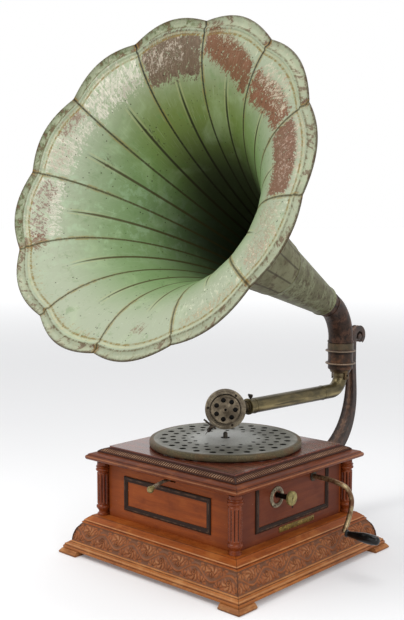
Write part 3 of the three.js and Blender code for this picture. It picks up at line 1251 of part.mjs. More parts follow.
// The bell is a lofted shell. Its flare is one curve from the neck to the ridge, followed by the
// ridge bead and a lip that curls back; the lobes grow with the radius.
function bell() {
  const { neckEnd, neckRadius, mouth, ridgeRadius, rimRadius, sheet } = horn;
  const { petals, lobe, forward, lip, bead, nose } = horn;
  const reach = mouth - neckEnd;
  const swell = ridgeRadius - neckRadius;
  const straightReach = reach * flareShares.along;
  const flare = new THREE.CubicBezierCurve(
    new THREE.Vector2(neckRadius, neckEnd + fit),
    new THREE.Vector2(neckRadius + straightReach * flareShares.rise, neckEnd + straightReach),
    new THREE.Vector2(ridgeRadius - swell * flareShares.back, mouth - reach * flareShares.drop),
    new THREE.Vector2(ridgeRadius, mouth - bead / 2),
  );
  const band = rimRadius - ridgeRadius;
  const front = flare.getPoints(flareSteps).map((spot) => [spot.x, spot.y]);
  front.push([ridgeRadius + band * lipShares.crest, mouth + bead / 2]);
  front.push([ridgeRadius + band * lipShares.valley, mouth]);
  front.push([ridgeRadius + band * lipShares.edge, mouth + nose]);
  front.push([rimRadius, mouth + lip]);
  const behind = front.map(([radius, height], i) => {
    const [r0, z0] = front[Math.max(0, i - 1)];
    const [r1, z1] = front[Math.min(front.length - 1, i + 1)];
    const size = Math.hypot(r1 - r0, z1 - z0);
    const side = i === 0 ? [sheet, 0] : [sheet * (z1 - z0) / size, -sheet * (r1 - r0) / size];
    return [radius + side[0], height + side[1]];
  });
  const profile = [...front, ...behind.reverse()];
  const perPetal = petalSteps;
  const columnsAround = petals * perPetal;
  const places = [];
  for (let i = 0; i < columnsAround; i += 1) {
    const angle = horn.seamAngle * degree + (i / columnsAround) * 2 * Math.PI;
    const across = (i % perPetal) / perPetal;
    const bulge = Math.sin(Math.PI * across);
    profile.forEach(([radius, height]) => {
      const grown = Math.min(1, Math.max(0, (radius - neckRadius) / (rimRadius - neckRadius)));
      const swelled = bulge * grown ** lobePower;
      const radial = radius + lobe * swelled;
      places.push(radial * Math.cos(angle), radial * Math.sin(angle), height + forward * swelled);
    });
  }
  const rows = profile.length;
  const corners = [];
  for (let i = 0; i < columnsAround; i += 1) {
    for (let row = 0; row < rows; row += 1) {
      const next = (i + 1) % columnsAround;
      const a = i * rows + row;
      const b = i * rows + ((row + 1) % rows);
      const c = next * rows + row;
      const d = next * rows + ((row + 1) % rows);
      corners.push(a, c, b, b, c, d);
    }
  }
  const form = new THREE.BufferGeometry();
  form.setAttribute('position', new THREE.Float32BufferAttribute(places, 3));
  form.setIndex(corners);
  return closed(form);
}

cabinetBase();
caseWalls();
columns();
panelFrames();
cabinetTop();
plate();
turntable();
springDrive();
intermediate();
governorPieces();
motorPlates();
crankPieces();
speedPieces();
brakePieces();
bracketPieces();
soundBox(toneArm());
hornPieces();

// The origin is below the middle of the whole object, on the floor

gramophone.updateMatrixWorld(true);
const bounds = new THREE.Box3().setFromObject(gramophone, true);
const middle = bounds.getCenter(new THREE.Vector3());
gramophone.position.set(-middle.x, -middle.y, -bounds.min.z);

export default gramophone;
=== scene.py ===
"""Add-on that models an outside-horn gramophone over its measured parts, in metres, Z up."""

import json
import math

import bpy
import numpy as np
from mathutils import Matrix, Vector

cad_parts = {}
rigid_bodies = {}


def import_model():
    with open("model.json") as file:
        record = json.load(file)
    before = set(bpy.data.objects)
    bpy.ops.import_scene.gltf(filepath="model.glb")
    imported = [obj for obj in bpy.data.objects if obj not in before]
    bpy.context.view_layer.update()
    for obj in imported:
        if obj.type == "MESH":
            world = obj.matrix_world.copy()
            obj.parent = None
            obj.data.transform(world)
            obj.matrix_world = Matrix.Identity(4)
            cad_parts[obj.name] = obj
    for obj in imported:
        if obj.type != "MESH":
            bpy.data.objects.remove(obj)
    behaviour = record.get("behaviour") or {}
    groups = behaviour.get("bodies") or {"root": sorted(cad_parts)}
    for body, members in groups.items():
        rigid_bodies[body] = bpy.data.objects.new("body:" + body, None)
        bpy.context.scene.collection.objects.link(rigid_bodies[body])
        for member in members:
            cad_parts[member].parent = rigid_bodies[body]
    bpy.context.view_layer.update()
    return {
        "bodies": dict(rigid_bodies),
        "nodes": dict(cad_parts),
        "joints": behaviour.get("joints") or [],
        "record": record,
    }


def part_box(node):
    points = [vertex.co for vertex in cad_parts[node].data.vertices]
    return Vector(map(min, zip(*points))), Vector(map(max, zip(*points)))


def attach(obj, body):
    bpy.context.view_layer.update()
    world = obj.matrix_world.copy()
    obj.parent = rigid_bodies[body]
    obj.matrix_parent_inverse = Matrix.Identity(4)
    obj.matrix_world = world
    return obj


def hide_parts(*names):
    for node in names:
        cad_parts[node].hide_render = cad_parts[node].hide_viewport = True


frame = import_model()

bl_info = {
    "name": "Horn gramophone",
    "version": (1, 0, 0),
    "blender": (4, 5, 0),
    "location": "3D View > Sidebar > Gramophone",
    "description": "Models a gramophone with a petalled horn over its measured parts",
    "category": "Add Mesh",
}

MM = 0.001
FULL = 2 * math.pi
QUARTER = math.pi / 2
BODY = "cabinet"
PETALS = 12


# Sizes and colours


def length(name, description, size):
    """A length property; the size is given in millimetres."""
    return bpy.props.FloatProperty(
        name=name, description=description, default=size * MM, unit="LENGTH", subtype="DISTANCE"
    )


def turn(name, description, size):
    """An angle property; the size is given in degrees."""
    return bpy.props.FloatProperty(
        name=name, description=description, default=math.radians(size), unit="ROTATION", subtype="ANGLE"
    )


def linear(code):
    """The linear red, green and blue of a hexadecimal colour."""
    parts = [int(code[i : i + 2], 16) / 255 for i in (0, 2, 4)]
    return tuple(p / 12.92 if p <= 0.04045 else ((p + 0.055) / 1.055) ** 2.4 for p in parts)


def colour(name, description, code):
    return bpy.props.FloatVectorProperty(
        name=name, description=description, default=linear(code), size=3, min=0, max=1, subtype="COLOR"
    )


class HornSizes(bpy.types.PropertyGroup):
    stand: length("Stand", "From the spindle back to the axis of the collar", 336)
    height: length("Height", "Where the elbow's axis turns, above the floor", 378.8)
    turn: turn("Turn", "How far the horn is turned about the collar", 4.98)
    tilt: turn("Tilt", "How far the horn looks up", 22.49)
    small: length("Small radius", "Radius of the neck at the elbow", 27.3)
    neck: length("Neck radius", "Radius where the neck meets the bell", 49.7)
    neck_start: length("Neck start", "Along the axis from the elbow's corner", 75)
    neck_end: length("Neck end", "Along the axis from the elbow's corner", 256)
    mouth: length("Mouth", "The ridge, along the axis", 600)
    ridge: length("Ridge radius", "Radius of the ridge inside the lip", 241)
    rim: length("Rim radius", "Radius of the rim at a seam", 258.5)
    lobe: length("Lobe", "How far a petal swells outwards", 10)
    forward: length("Forward", "How far a petal swells forwards", 5)
    sheet: length("Sheet", "Thickness of the sheet metal", 1.6)
    seam: turn("Seam", "Angle of the first seam", 24.63)
    elbow: length("Elbow radius", "Radius of the elbow's pipe", 23.3)


class CaseSizes(bpy.types.PropertyGroup):
    half: length("Half case", "From the spindle to the face of a wall", 142)
    base: length("Base level", "Underside of the base moulding", 8.5)
    frieze: length("Frieze level", "Underside of the carved frieze", 21)
    ledge: length("Ledge level", "Underside of the ledge", 50.5)
    wall: length("Wall level", "Foot of the walls", 65)
    cornice: length("Cornice level", "Top of the walls", 155)
    board: length("Board level", "Underside of the top board", 171.5)
    column: length("Column", "From the spindle to a column's axis", 144.5)
    frame: length("Panel frame", "Half the width of a panel frame", 95)
    inside: length("Wall thickness", "Thickness of the walls", 14)


class TurntableSizes(bpy.types.PropertyGroup):
    radius: length("Radius", "Radius of the turntable", 127)
    floor: length("Floor", "Underside of the skirt", 183.2)
    top: length("Top", "Face that carries the record", 193.7)
    plate: length("Plate", "Thickness of the plate", 2.6)
    skirt: length("Skirt", "Thickness of the skirt", 3)


class ArmSizes(bpy.types.PropertyGroup):
    swing: turn("Swing", "How far the arm is turned about the collar", -4.5)
    radius: length("Tube radius", "Radius of the tone arm", 13.4)
    ball: length("Ball level", "Centre of the ball in the sleeve", 260)
    axis: length("Axis level", "Height of the tube's axis", 231.5)
    reach: length("Reach", "From the collar's axis to the end of the tube", 255.8)
    box: length("Sound box", "Radius of the sound box", 34.5)
    box_turn: turn("Box turn", "How far the sound box faces sideways", 45.5)


class PaintColours(bpy.types.PropertyGroup):
    sage: colour("Sage", "Pale green paint of the petals", "9ca48d")
    # Moss is partly painted shade on the upper petals, which face down
    moss: colour("Moss", "Stronger green inside the upper petals", "5b843b")
    # Throat is partly painted shade deep in the horn
    throat: colour("Throat", "Darkened green in the throat", "20221a")
    scuff: colour("Scuff", "Whitish scuffs of the petals", "cfd0c0")
    # Ochre is a painted highlight on the flanks of the seams
    ochre: colour("Ochre", "Gold-ochre lines of the petals", "8f7438")
    patina: colour("Patina", "Back of the horn", "605e42")
    mahogany: colour("Mahogany", "Middle tone of the wood", "8a4826")
    light_wood: colour("Light wood", "Worn arrises of the wood", "b57a45")
    dark_wood: colour("Dark wood", "Dark figure and grooves of the wood", "4a2415")
    ebony: colour("Ebony", "Blackened frames", "2a1a12")
    iron: colour("Iron", "Hollows of the cast bracket", "2b201b")
    brass: colour("Brass", "Tarnished brass of the tone arm", "4c4531")
    # This bright brass is the tone arm's painted highlight
    bright_brass: colour("Bright brass", "Rubbed brass of the tone arm", "ae9d6e")
    steel: colour("Steel", "Dull metal of the turntable", "74736a")


# Places and frames


def middle():
    """The spindle's foot on the floor, which is the middle of the square base."""
    low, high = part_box("base_moulding")
    return Vector(((low.x + high.x) / 2, (low.y + high.y) / 2, 0))


def shift(x=0.0, y=0.0, z=0.0):
    return Matrix.Translation(Vector((x, y, z)) * MM)


def about(axis, angle):
    return Matrix.Rotation(angle, 4, axis)


def home():
    return Matrix.Translation(middle())


def mm(group):
    """The lengths of a property group in millimetres, its angles in radians."""
    values = {}
    for key, value in type(group).__annotations__.items():
        unit = value.keywords.get("unit")
        values[key] = getattr(group, key) / (MM if unit == "LENGTH" else 1)
    return type("Sizes", (), values)


# Modelling


def fresh():
    if bpy.context.object and bpy.context.object.mode != "OBJECT":
        bpy.ops.object.mode_set(mode="OBJECT")
    bpy.ops.object.select_all(action="DESELECT")


def alone(piece):
    fresh()
    piece.select_set(True)
    bpy.context.view_layer.objects.active = piece


def edit(piece, action="SELECT"):
    """Opens a piece for editing, with all of it or nothing of it selected."""
    alone(piece)
    bpy.ops.object.mode_set(mode="EDIT")
    bpy.ops.mesh.select_all(action=action)


def leave():
    bpy.ops.object.mode_set(mode="OBJECT")


def extrude_to(profile, half, square):
    """Extrudes the selected ring through the profile's points, given in millimetres."""
    for (r0, z0), (r1, z1) in zip(profile, profile[1:]):
        bpy.ops.mesh.extrude_region_move(TRANSFORM_OT_translate={"value": (0, 0, (z1 - z0) * MM)})
        grow = [(h + r1) / (h + r0) for h in (half if square else (0, 0))]
        if max(abs(g - 1) for g in grow) > 1e-7:
            bpy.ops.transform.resize(value=(*grow, 1), center_override=(0, 0, z1 * MM))


def ringed(profile, sides=64, half=(0, 0), loop=False):
    """A turned piece, or with four sides a mitred frame, drawn ring by ring along radius and height."""
    fresh()
    tiny = 0.02
    square = sides == 4
    ends = [end[0] <= 0 and not square for end in (profile[0], profile[-1])]
    line = list(profile) if square else [(max(r, tiny), z) for r, z in profile]
    if loop:
        line.append(line[0])
    r0, z0 = line[0]
    if square:
        bpy.ops.mesh.primitive_plane_add(size=2, location=(0, 0, z0 * MM))
        bpy.ops.object.mode_set(mode="EDIT")
        bpy.ops.mesh.delete(type="ONLY_FACE")
        bpy.ops.mesh.select_all(action="SELECT")
        bpy.ops.transform.resize(value=((half[0] + r0) * MM, (half[1] + r0) * MM, 1))
    else:
        bpy.ops.mesh.primitive_circle_add(vertices=sides, radius=r0 * MM, location=(0, 0, z0 * MM))
        bpy.ops.object.mode_set(mode="EDIT")
        bpy.ops.mesh.select_all(action="SELECT")
    extrude_to(line, half, square)
    if not loop:
        bpy.ops.mesh.edge_face_add()
        if ends[1]:
            bpy.ops.mesh.merge(type="CENTER")
    leave()
    piece = bpy.context.object
    if not loop:
        for vertex in piece.data.vertices:
            vertex.select = vertex.index < sides
        bpy.ops.object.mode_set(mode="EDIT")
        bpy.ops.mesh.select_mode(type="VERT")
        bpy.ops.mesh.edge_face_add()
        if ends[0]:
            bpy.ops.mesh.merge(type="CENTER")
        leave()
    tidy(piece)
    apply_all(piece)
    return piece


def tidy(piece, near=0.004):
    """Merges doubles and turns the faces outwards."""
    edit(piece)
    bpy.ops.mesh.remove_doubles(threshold=near * MM)
    bpy.ops.mesh.normals_make_consistent(inside=False)
    leave()


def apply_all(piece):
    alone(piece)
    bpy.ops.object.transform_apply(location=True, rotation=True, scale=True)


def apply_modifier(piece, kind, **settings):
    alone(piece)
    bpy.ops.object.modifier_add(type=kind)
    modifier = piece.modifiers[-1]
    for key, value in settings.items():
        setattr(modifier, key, value)
    bpy.ops.object.modifier_apply(modifier=modifier.name)


def cut_by(piece, cutter):
    """Takes the cutter's form out of a piece and removes the cutter."""
    apply_modifier(piece, "BOOLEAN", operation="DIFFERENCE", object=cutter, solver="EXACT")
    bpy.data.objects.remove(cutter)


def bevelled(piece, width, segments=2, angle=32):
    apply_modifier(
        piece, "BEVEL", width=width * MM, segments=segments, limit_method="ANGLE",
        angle_limit=math.radians(angle), use_clamp_overlap=True,
    )
    return piece


def moved(piece, matrix):
    piece.matrix_world = matrix @ piece.matrix_world
    apply_all(piece)
    return piece


def joined(*pieces):
    fresh()
    for piece in pieces:
        piece.select_set(True)
    bpy.context.view_layer.objects.active = pieces[0]
    bpy.ops.object.join()
    return pieces[0]


def copied(piece):
    alone(piece)
    bpy.ops.object.duplicate(linked=False)
    return bpy.context.object


def box(x0, x1, y0, y1, z0, z1, bevel=0.0, segments=2):
    """A block between two corners, with its arrises taken off."""
    fresh()
    spot = ((x0 + x1) / 2 * MM, (y0 + y1) / 2 * MM, (z0 + z1) / 2 * MM)
    bpy.ops.mesh.primitive_cube_add(size=1, location=spot)
    piece = bpy.context.object
    piece.scale = ((x1 - x0) * MM, (y1 - y0) * MM, (z1 - z0) * MM)
    apply_all(piece)
    if bevel:
        bevelled(piece, bevel, segments)
    return piece


def polar(radius, angle):
    return radius * math.cos(angle), radius * math.sin(angle)


def raised_by(z, profile):
    """A profile whose heights are counted from the level z."""
    return [(r, z + up) for r, up in profile]


def curved(points, steps=4):
    """Points through which a smooth line runs, several for each stretch."""
    line = [Vector(p) for p in points]
    out = []
    for i in range(len(line) - 1):
        a, b = line[max(0, i - 1)], line[i]
        c, d = line[i + 1], line[min(len(line) - 1, i + 2)]
        for t in (k / steps for k in range(steps)):
            bend = 2 * a - 5 * b + 4 * c - d
            out.append(0.5 * (2 * b + (c - a) * t + bend * t * t + (3 * b - a - 3 * c + d) * t**3))
    return out + [line[-1]]


def bezier(a, b, c, d, steps):
    a, b, c, d = Vector(a), Vector(b), Vector(c), Vector(d)
    return [
        a * (1 - t) ** 3 + b * 3 * t * (1 - t) ** 2 + c * 3 * t * t * (1 - t) + d * t**3
        for t in (i / steps for i in range(steps + 1))
    ]


def pipe(points, radius, resolution=10, widths=None):
    """A round bar along points, made as a bevelled curve and turned into a mesh."""
    fresh()
    data = bpy.data.curves.new("route", "CURVE")
    data.dimensions = "3D"
    data.bevel_depth = radius * MM
    data.bevel_resolution = resolution
    data.use_fill_caps = True
    spline = data.splines.new("POLY")
    spline.points.add(len(points) - 1)
    for i, point in enumerate(points):
        spline.points[i].co = (*(Vector(point) * MM), 1)
        spline.points[i].radius = widths[i] if widths else 1
    piece = bpy.data.objects.new("route", data)
    bpy.context.scene.collection.objects.link(piece)
    alone(piece)
    bpy.ops.object.convert(target="MESH")
    piece = bpy.context.object
    tidy(piece)
    return piece


def from_grid(name, places, close_columns=True, close_rows=True, values=None, flat=None):
    """A mesh over a grid of places, columns first; values is an attribute and flat a UV map laid on it."""
    columns, rows = places.shape[:2]
    last_column = columns if close_columns else columns - 1
    last_row = rows if close_rows else rows - 1
    faces, corners = [], []
    for i in range(last_column):
        for j in range(last_row):
            i1, j1 = (i + 1) % columns, (j + 1) % rows
            faces.append((i * rows + j, i * rows + j1, i1 * rows + j1, i1 * rows + j))
            corners.append(((i, j), (i, j + 1), (i + 1, j + 1), (i + 1, j)))
    mesh = bpy.data.meshes.new(name)
    mesh.from_pydata((places.reshape(-1, 3) * MM).tolist(), [], faces)
    if values is not None:
        relief = mesh.attributes.new("relief", "FLOAT", "POINT")
        relief.data.foreach_set("value", values.reshape(-1).astype(np.float32))
    if flat is not None:
        layer = mesh.uv_layers.new(name="petals")
        spots = [flat(*corner) for face in corners for corner in face]
        layer.data.foreach_set("uv", np.array(spots, np.float32).reshape(-1))
    piece = bpy.data.objects.new(name, mesh)
    bpy.context.scene.collection.objects.link(piece)
    return piece


def merged_copy(node):
    """A welded copy of a measured part."""
    piece = bpy.data.objects.new(node + ".form", bpy.data.objects[node].data.copy())
    bpy.context.scene.collection.objects.link(piece)
    edit(piece)
    bpy.ops.mesh.remove_doubles(threshold=0.01 * MM)
    bpy.ops.mesh.tris_convert_to_quads()
    leave()
    return piece


def paint(piece, finish):
    piece.data.materials.clear()
    piece.data.materials.append(finish)


def place(piece, name, finish, body=BODY, nodes=(), angle=35, matrix=None):
    """Names, paints and shades a piece, and lets it ride its body."""
    if matrix is not None:
        moved(piece, matrix)
    piece.name = name
    piece.data.name = name
    paint(piece, finish)
    alone(piece)
    bpy.ops.object.shade_smooth_by_angle(angle=math.radians(angle))
    piece.select_set(False)
    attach(piece, body)
    if nodes:
        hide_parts(*nodes)
    return piece


# Finishes


def operator(kind, swapped=False):
    """A method that joins a wire and another value by one math node."""
    if swapped:
        return lambda wire, other: wire.math(kind, other, wire)
    return lambda wire, other: wire.math(kind, wire, other)


class Wire:
    """A shader socket that can stand in sums."""

    __add__, __radd__ = operator("ADD"), operator("ADD", True)
    __sub__, __rsub__ = operator("SUBTRACT"), operator("SUBTRACT", True)
    __mul__, __rmul__ = operator("MULTIPLY"), operator("MULTIPLY", True)
    most, least = operator("MAXIMUM"), operator("MINIMUM")
    above, wrap = operator("GREATER_THAN"), operator("FLOORED_MODULO")

    def __init__(self, tree, socket):
        self.tree, self.socket = tree, socket

    def math(self, kind, *values):
        node = self.tree.nodes.new("ShaderNodeMath")
        node.operation = kind
        for spot, value in zip(node.inputs, values):
            feed(self.tree, spot, value)
        return Wire(self.tree, node.outputs[0])

    def __abs__(self):
        return self.math("ABSOLUTE", self)

    def root(self):
        return self.math("SQRT", self)

    def ramp(self, low, high):
        """0 up to low, 1 from high, smooth between; low may be the larger."""
        node = self.tree.nodes.new("ShaderNodeMapRange")
        node.interpolation_type = "SMOOTHSTEP"
        for name, value in (("Value", self), ("From Min", low), ("From Max", high)):
            feed(self.tree, node.inputs[name], value)
        return Wire(self.tree, node.outputs[0])

    def band(self, low, high, soft):
        """1 between low and high, fading over soft at both ends."""
        return self.ramp(low - soft, low + soft) * self.ramp(high + soft, high - soft)


def feed(tree, spot, value):
    """Gives an input a wire, a number, a vector, or a colour, which may be a hexadecimal code."""
    if isinstance(value, str):
        value = linear(value)
    if isinstance(value, Wire):
        tree.links.new(value.socket, spot)
    elif spot.type == "RGBA" and len(value) == 3:
        spot.default_value = (*value, 1)
    else:
        spot.default_value = value


def seen_by_camera(tree):
    """1 for what the camera sees straight, in a reflection or through glass."""
    path = tree.nodes.new("ShaderNodeLightPath")
    seen = Wire(tree, path.outputs["Is Camera Ray"])
    for kind in ("Is Glossy Ray", "Is Transmission Ray"):
        seen = seen.most(Wire(tree, path.outputs[kind]))
    return seen


class Finish:
    """A material whose shader is fed from the piece's own coordinates."""

    def __init__(self, name, **sockets):
        self.material = bpy.data.materials.new(name)
        self.material.use_nodes = True
        self.tree = self.material.node_tree
        self.shader = self.tree.nodes["Principled BSDF"]
        for key, value in sockets.items():
            self.put(key.replace("_", " "), value)
        where = middle()
        spot = self.node("TexCoord", {}, {}, "Object")
        self.at = self.node("VectorMath", {"operation": "SUBTRACT"}, {0: spot, 1: (where.x, where.y, 0)})
        self.x, self.y, self.z = [part * (1 / MM) for part in self.split(self.at)]

    def raw(self, kind, settings, values):
        node = self.tree.nodes.new("ShaderNode" + kind)
        for key, value in settings.items():
            setattr(node, key, value)
        for key, value in values.items():
            feed(self.tree, node.inputs[key], value)
        return node

    def node(self, kind, settings, values, output=0):
        return Wire(self.tree, self.raw(kind, settings, values).outputs[output])

    def split(self, vector):
        parts = self.raw("SeparateXYZ", {}, {0: vector})
        return [Wire(self.tree, socket) for socket in parts.outputs]

    def point(self, x, y, z):
        return self.node("CombineXYZ", {}, {0: x, 1: y, 2: z})

    def attribute(self, name):
        return self.node("Attribute", {"attribute_name": name}, {}, 2)

    def put(self, socket, value):
        feed(self.tree, self.shader.inputs[socket], value)

    def mix(self, share, a, b):
        return self.node("Mix", {"data_type": "RGBA"}, {0: share, 6: a, 7: b}, 2)

    def spindle_square(self):
        """The square of the distance to the spindle's axis, in millimetres."""
        return self.x * self.x + self.y * self.y

    def field(self, size):
        """Coordinates divided by one size or by three in millimetres; a wire stays as it is."""
        if isinstance(size, Wire):
            return size
        sizes = size if isinstance(size, tuple) else (size,) * 3
        scale = tuple(1 / (s * MM) for s in sizes)
        return self.node("VectorMath", {"operation": "MULTIPLY"}, {0: self.at, 1: scale})

    def noise(self, size, detail=3.0, rough=0.55, distortion=0.0):
        values = {"Detail": detail, "Roughness": rough, "Distortion": distortion}
        return self.node("TexNoise", {}, {"Vector": self.field(size), "Scale": 1.0, **values})

    def specks(self, size, share):
        """Small dots, which cover more of the surface as the share grows."""
        cells = self.node("TexVoronoi", {}, {"Vector": self.field(size), "Scale": 1.0})
        return cells.ramp(share, share * 0.6)

    def done(self, tone, rough, height, strength, metallic=0.0, distance=1.0):
        """The finished material; the height of its bumps is multiplied by the distance in millimetres."""
        self.put("Base Color", tone)
        self.put("Metallic", metallic)
        self.put("Roughness", rough)
        bumps = {"Height": height, "Distance": distance * MM, "Strength": strength}
        self.put("Normal", self.node("Bump", {}, bumps))
        return self.material


def wood(name, c, light=None, mid=None, dark=None, grain="around", bands=(), rough=0.34, coat=0.05,
         wear=0.35, mitre=True, raised=None, figured=0.5, marks=()):
    """Polished mahogany; bands are level, half height, share and colour of lines round the piece, the dark
    ones painted shade in grooves, under overhangs and where parts meet, the light ones painted highlights
    with some wear on rounded arrises.
    """
    f = Finish(name, Coat_Weight=coat, Coat_Roughness=0.2, Specular_IOR_Level=0.1)
    light, mid, dark = light or c.light_wood, mid or c.mahogany, dark or c.dark_wood
    if grain == "around":
        side = abs(f.x).above(abs(f.y))
        along = f.x + side * (f.y - f.x)
        across = f.y + side * (f.x - f.y)
        veins = f.point(along * 0.009, across * 0.12, f.z * 0.12)
        fine = f.point(along * 0.05, across * 1.1, f.z * 1.1)
    else:
        veins = tuple(120 if a == grain else 9 for a in "xyz")
        fine = tuple(26 if a == grain else 1.0 for a in "xyz")
    figure = f.noise(veins, 3, 0.55, 0.5)
    pores = f.noise(fine, 2, 0.6)
    stain = f.noise((38, 38, 26), 3, 0.6)
    base = f.mix(figure.ramp(0.3, 0.7) * figured + (1 - figured), dark, mid)
    base = f.mix(pores.ramp(0.45, 0.75) * 0.3, base, light)
    base = f.mix(stain.ramp(0.5, 0.72) * wear, base, light)
    base = f.mix(stain.ramp(0.45, 0.26) * 0.6, base, dark)
    if not mitre:
        # Painted shade: a wall is darker toward the columns at its ends, where it meets them
        across = abs(f.x if grain == "x" else f.y)
        base = f.mix((across + stain * 30).ramp(106, 138) * 0.45, base, dark)
    # Lines round the piece: dark ones are painted shade, light ones painted highlights with wear
    for level, half, share, tone in bands:
        line = f.z.band(level - half, level + half, max(0.25, half * 0.4))
        broken = f.noise((9, 9, 4), 3, 0.6).ramp(0.3, 0.6)
        base = f.mix(line * share * (0.55 + 0.45 * broken), base, tone)
    # Carvings: the sunk ground takes the low colour, dust and painted shade in the hollows, and the tops of
    # the relief the high colour, painted highlights with wear
    if raised:
        relief = f.attribute("relief")
        low, high = raised
        ground = f.mix(pores.ramp(0.35, 0.7) * 0.5, low, dark)
        base = f.mix(relief.ramp(0.05, 0.6), ground, base)
        base = f.mix(relief.ramp(0.6, 1.0) * (0.45 + 0.55 * stain.ramp(0.4, 0.62)), base, high)
    # Each mark is a dark disc of painted shade, at across and level with a radius of size, standing for a
    # small hole
    for across, level, size, tone in marks:
        right, up = f.y - across, f.z - level
        base = f.mix((right * right + up * up).ramp(size * size * 1.5, size * size), base, tone)
    chips = f.specks((11, 11, 8), 0.09) * f.noise((30, 30, 20)).ramp(0.52, 0.64)
    base = f.mix(chips * 0.4, base, "b9a084")
    if mitre:
        seam = abs(abs(f.x) - abs(f.y)).ramp(0.9, 0.25)
        base = f.mix(seam * 0.7, base, "24120b")
    rough = pores.ramp(0.2, 0.8) * 0.16 + rough + chips * 0.2
    return f.done(base, rough, pores * 0.08 + figure * 0.04, 0.4, distance=0.8)


def metal(name, base, worn, rough=0.4, metallic=0.75, patch=16, spot=None, spots=0.35, grime=None,
          bump=0.1, inner_shade=None):
    """Tarnished metal with rubbed places, spots and fine pitting."""
    f = Finish(name, Specular_IOR_Level=0.2)
    cloud = f.noise(patch, 4, 0.6, 0.4)
    fine = f.noise(2.2, 3, 0.6)
    tone = f.mix(cloud.ramp(0.4, 0.66), base, worn)
    tone = f.mix(fine.ramp(0.5, 0.75) * 0.4, tone, grime or (0.02, 0.016, 0.012))
    if spot:
        marks = f.noise((patch * 0.35, patch * 0.35, patch * 0.5), 4, 0.7)
        tone = f.mix(marks.ramp(1 - spots - 0.12, 1 - spots + 0.05), tone, spot)
    # Painted shade: faces marked inner, inside a tube, take a near-black colour
    if inner_shade:
        tone = f.mix(f.attribute("inner"), tone, inner_shade)
    rough = fine * 0.25 + cloud * 0.15 + (rough - 0.2)
    metallic = cloud.ramp(0.2, 0.8) * 0.2 + (metallic - 0.1)
    return f.done(tone, rough, fine * bump + cloud * bump, 0.6, metallic)


# Horn


def horn_frame(h):
    """From the horn's own axis, Z towards the mouth and Y up, to the floor frame."""
    lean = about("X", QUARTER - h.tilt)
    return home() @ shift(0, h.stand) @ about("Z", h.turn) @ shift(0, 0, h.height) @ lean


def bell_line(h):
    """Radius and height of the inside of the bell from the neck to the rim."""
    reach, swell = h.mouth - h.neck_end, h.ridge - h.neck
    run = reach * 0.617
    flare = bezier(
        (h.neck, h.neck_end + 0.3, 0), (h.neck + run * 0.123, h.neck_end + run, 0),
        (h.ridge - swell * 0.466, h.mouth - reach * 0.055, 0), (h.ridge, h.mouth - 1.5, 0), 64,
    )
    band = h.rim - h.ridge
    lip = curved([
        (h.ridge, h.mouth - 1.5, 0), (h.ridge + band * 0.1, h.mouth + 1.0, 0),
        (h.ridge + band * 0.25, h.mouth + 1.5, 0), (h.ridge + band * 0.4, h.mouth + 0.5, 0),
        (h.ridge + band * 0.58, h.mouth, 0), (h.ridge + band * 0.78, h.mouth + 1.9, 0),
        (h.ridge + band * 0.92, h.mouth + 3.5, 0), (h.rim, h.mouth + 1.6, 0),
    ], 3)
    return [(p[0], p[1]) for p in flare + lip[1:]]


def petal_shares():
    """Where the columns of one petal stand, close together at the seam and at the middle crease."""
    half = [0, 0.007, 0.014, 0.026, 0.05, 0.09, 0.14, 0.2, 0.26, 0.32, 0.38, 0.43, 0.465, 0.485, 0.493]
    return half + [0.5] + [1 - s for s in reversed(half[1:])]


def bell_mesh(h):
    front = bell_line(h)
    back = []
    for i, (r, z) in enumerate(front):
        (r0, z0), (r1, z1) = front[max(0, i - 1)], front[min(len(front) - 1, i + 1)]
        size = math.hypot(r1 - r0, z1 - z0)
        back.append((r + h.sheet * (z1 - z0) / size, z - h.sheet * (r1 - r0) / size))
    rows = front + back[::-1]
    inside = len(front)
    shares = petal_shares()
    folds = 0.012
    places = np.zeros((PETALS * len(shares), len(rows), 3))
    for i in range(len(places)):
        number, column = divmod(i, len(shares))
        across = shares[column]
        angle = h.seam + (number + across) / PETALS * FULL
        bulge = math.sin(math.pi * across)
        flat = abs(math.sin(FULL * across))
        for j, (r, z) in enumerate(rows):
            grown = min(1, max(0, (r - h.neck) / (h.rim - h.neck)))
            early = min(1, grown * 12)
            swelled = bulge * grown**5
            # The throat is folded in twenty-four flats, the outer petals in twelve
            throat = max(0.0, 1 - max(0.0, r - 120) / 70)
            radial = r + h.lobe * swelled - r * folds * flat * throat * min(1, grown * 6)
            arc = r * FULL / PETALS
            gap, crease = min(across, 1 - across) * arc, abs(across - 0.5) * arc
            fold = math.exp(-((gap / 1.5) ** 2)) * early
            pinch = math.exp(-((crease / 1.2) ** 2)) * max(0.0, min(1, (182 - r) / 12)) * early
            lift = (0.9 * fold + 0.5 * pinch) * (1 if j < inside else -1.3)
            if j < inside and r > h.ridge - 4:
                lift *= 0.5
            places[i, j] = (*polar(radial, angle), z + lift + h.forward * swelled)

    def spot(i, j):
        """Petals counted from the first seam, and the radius in tenths of a metre, negative outside."""
        number, column = divmod(i, len(shares))
        r = rows[j % len(rows)][0] / 100
        return (number + shares[column], r if j < inside else -r)

    return from_grid("horn.bell", places, flat=spot)


